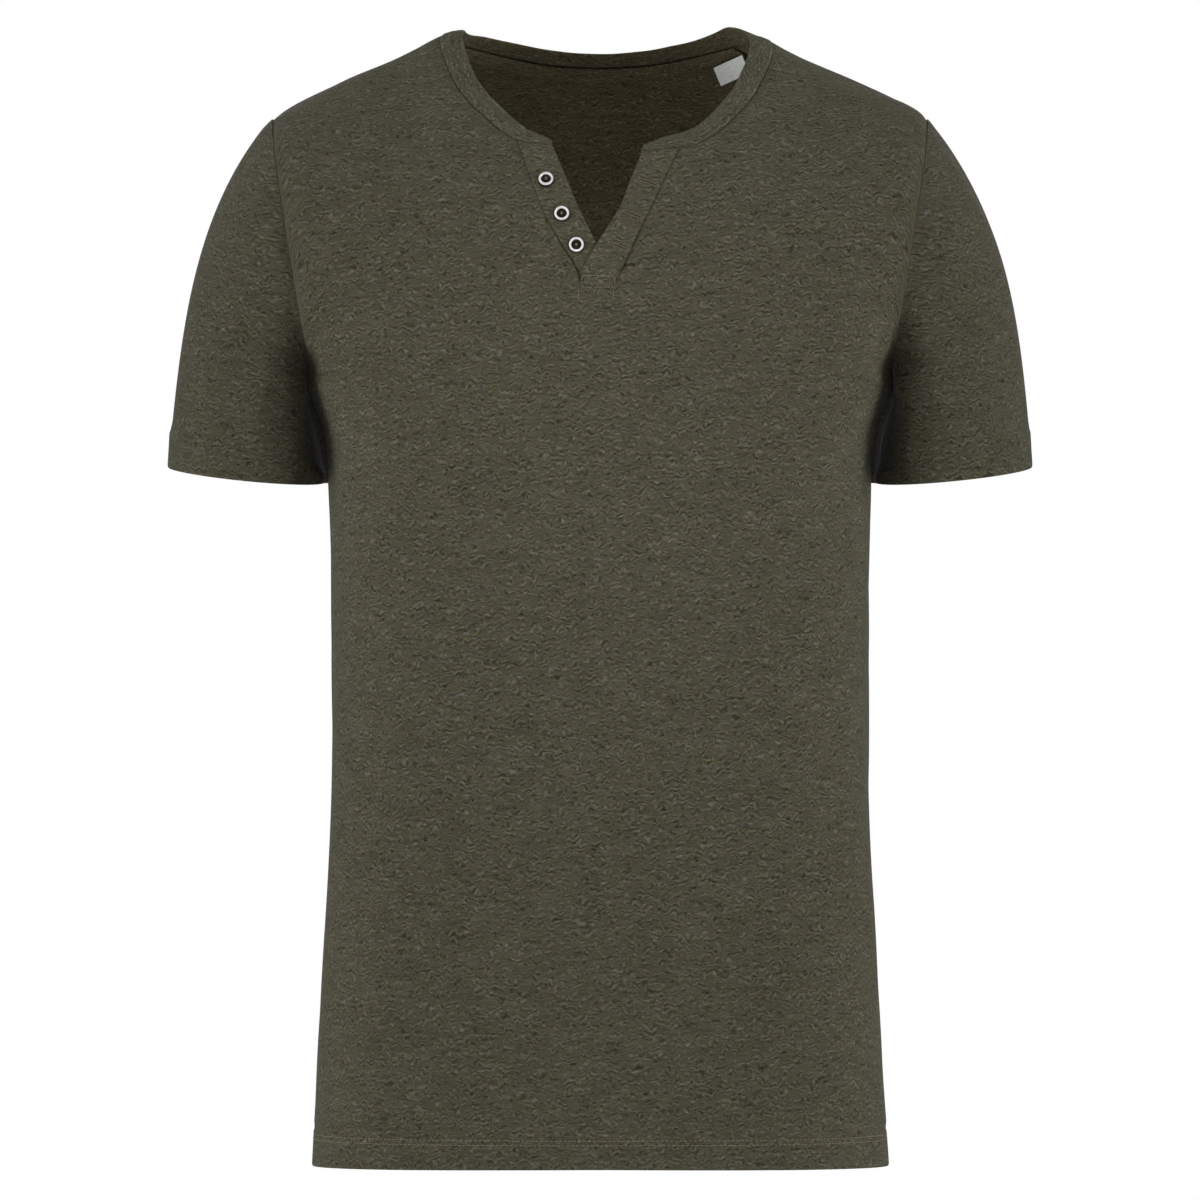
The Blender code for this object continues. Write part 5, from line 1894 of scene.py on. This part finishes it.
class HENLEY_OT_studio(bpy.types.Operator):
    """Set up the camera, the floor and the soft light"""

    bl_idname = "henley.studio"
    bl_label = "Studio"

    def execute(self, context):
        studio = context.scene.henley_studio
        self.camera(context, studio)
        self.floor()
        self.sky(context, studio)
        lights = {box.name: self.soft_box(box, studio) for box in SOFT_BOXES}
        lights["Front box"].spread = math.radians(FRONT_SPREAD)
        return {"FINISHED"}

    def camera(self, context, studio):
        lens = bpy.data.cameras.new("Studio camera")
        lens.sensor_width = 36.0
        lens.lens = lens.sensor_width * studio.distance / studio.frame_width
        lens.clip_end = 60.0
        camera = bpy.data.objects.new("Studio camera", lens)
        camera.location = (0.0, -studio.distance, studio.height)
        camera.rotation_euler = (math.pi / 2, 0.0, 0.0)
        context.scene.collection.objects.link(camera)
        context.scene.camera = camera

    def floor(self):
        points, faces = turned(((0.0, FLOOR_Z), (FLOOR_RADIUS, FLOOR_Z)), 64)
        floor = new_object("Studio_floor", points, faces, studio_floor())
        align_faces(floor.data)

    def sky(self, context, studio):
        """An even soft light, seen as plain white behind the shirt."""
        world = bpy.data.worlds.new("Soft sky")
        world.use_nodes = True
        tree = world.node_tree
        light, seen = tree.nodes["Background"], tree.nodes.new("ShaderNodeBackground")
        for background, strength in ((light, studio.sky), (seen, 1.0)):
            background.inputs["Color"].default_value = (1.0, 1.0, 1.0, 1.0)
            background.inputs["Strength"].default_value = strength
        ray = tree.nodes.new("ShaderNodeLightPath")
        join = tree.nodes.new("ShaderNodeMixShader")
        tree.links.new(ray.outputs["Is Camera Ray"], join.inputs[0])
        tree.links.new(light.outputs[0], join.inputs[1])
        tree.links.new(seen.outputs[0], join.inputs[2])
        tree.links.new(join.outputs[0], tree.nodes["World Output"].inputs["Surface"])
        context.scene.world = world
        context.scene.view_settings.view_transform = "Standard"

    def soft_box(self, kind, studio):
        light = bpy.data.lights.new(kind.name, "AREA")
        light.shape = "RECTANGLE"
        light.size, light.size_y = kind.size
        light.energy = getattr(studio, kind.power)
        place = Vector((*kind.place, studio.height)[:3])
        target = Vector(kind.target or (0.0, 0.0, studio.height))
        box = bpy.data.objects.new(kind.name, light)
        box.location = place
        box.visible_camera = False
        box.rotation_euler = (target - place).to_track_quat("-Z", "Y").to_euler()
        bpy.context.scene.collection.objects.link(box)
        return light


PIECES = (
    HENLEY_OT_front,
    HENLEY_OT_back,
    HENLEY_OT_sleeves,
    HENLEY_OT_neckband,
    HENLEY_OT_placket,
    HENLEY_OT_tape,
    HENLEY_OT_buttons,
    HENLEY_OT_studio,
)


class HENLEY_PT_panel(bpy.types.Panel):
    """Lists the shirt's pieces, sizes and colours"""

    bl_idname = "HENLEY_PT_panel"
    bl_label = "Henley shirt"
    bl_space_type = "VIEW_3D"
    bl_region_type = "UI"
    bl_category = "Henley"

    def draw(self, context):
        for group in (
            context.scene.henley_cloth, context.scene.henley_colours, context.scene.henley_studio
        ):
            column = self.layout.column(align=True)
            for name in group.__annotations__:
                column.prop(group, name)
        for piece in PIECES:
            self.layout.operator(piece.bl_idname)


GROUPS = {
    "henley_cloth": HenleyCloth,
    "henley_colours": HenleyColours,
    "henley_studio": HenleyStudio,
}


def register():
    for name, group in GROUPS.items():
        bpy.utils.register_class(group)
        setattr(bpy.types.Scene, name, bpy.props.PointerProperty(type=group))
    for piece in (*PIECES, HENLEY_PT_panel):
        bpy.utils.register_class(piece)


def unregister():
    for piece in reversed((*PIECES, HENLEY_PT_panel)):
        bpy.utils.unregister_class(piece)
    for name, group in GROUPS.items():
        delattr(bpy.types.Scene, name)
        bpy.utils.unregister_class(group)


def main():
    register()
    bpy.ops.henley.front()
    bpy.ops.henley.back()
    bpy.ops.henley.sleeves()
    bpy.ops.henley.neckband()
    bpy.ops.henley.placket()
    bpy.ops.henley.tape()
    bpy.ops.henley.buttons()
    bpy.ops.henley.studio()


if __name__ == "__main__":
    main()
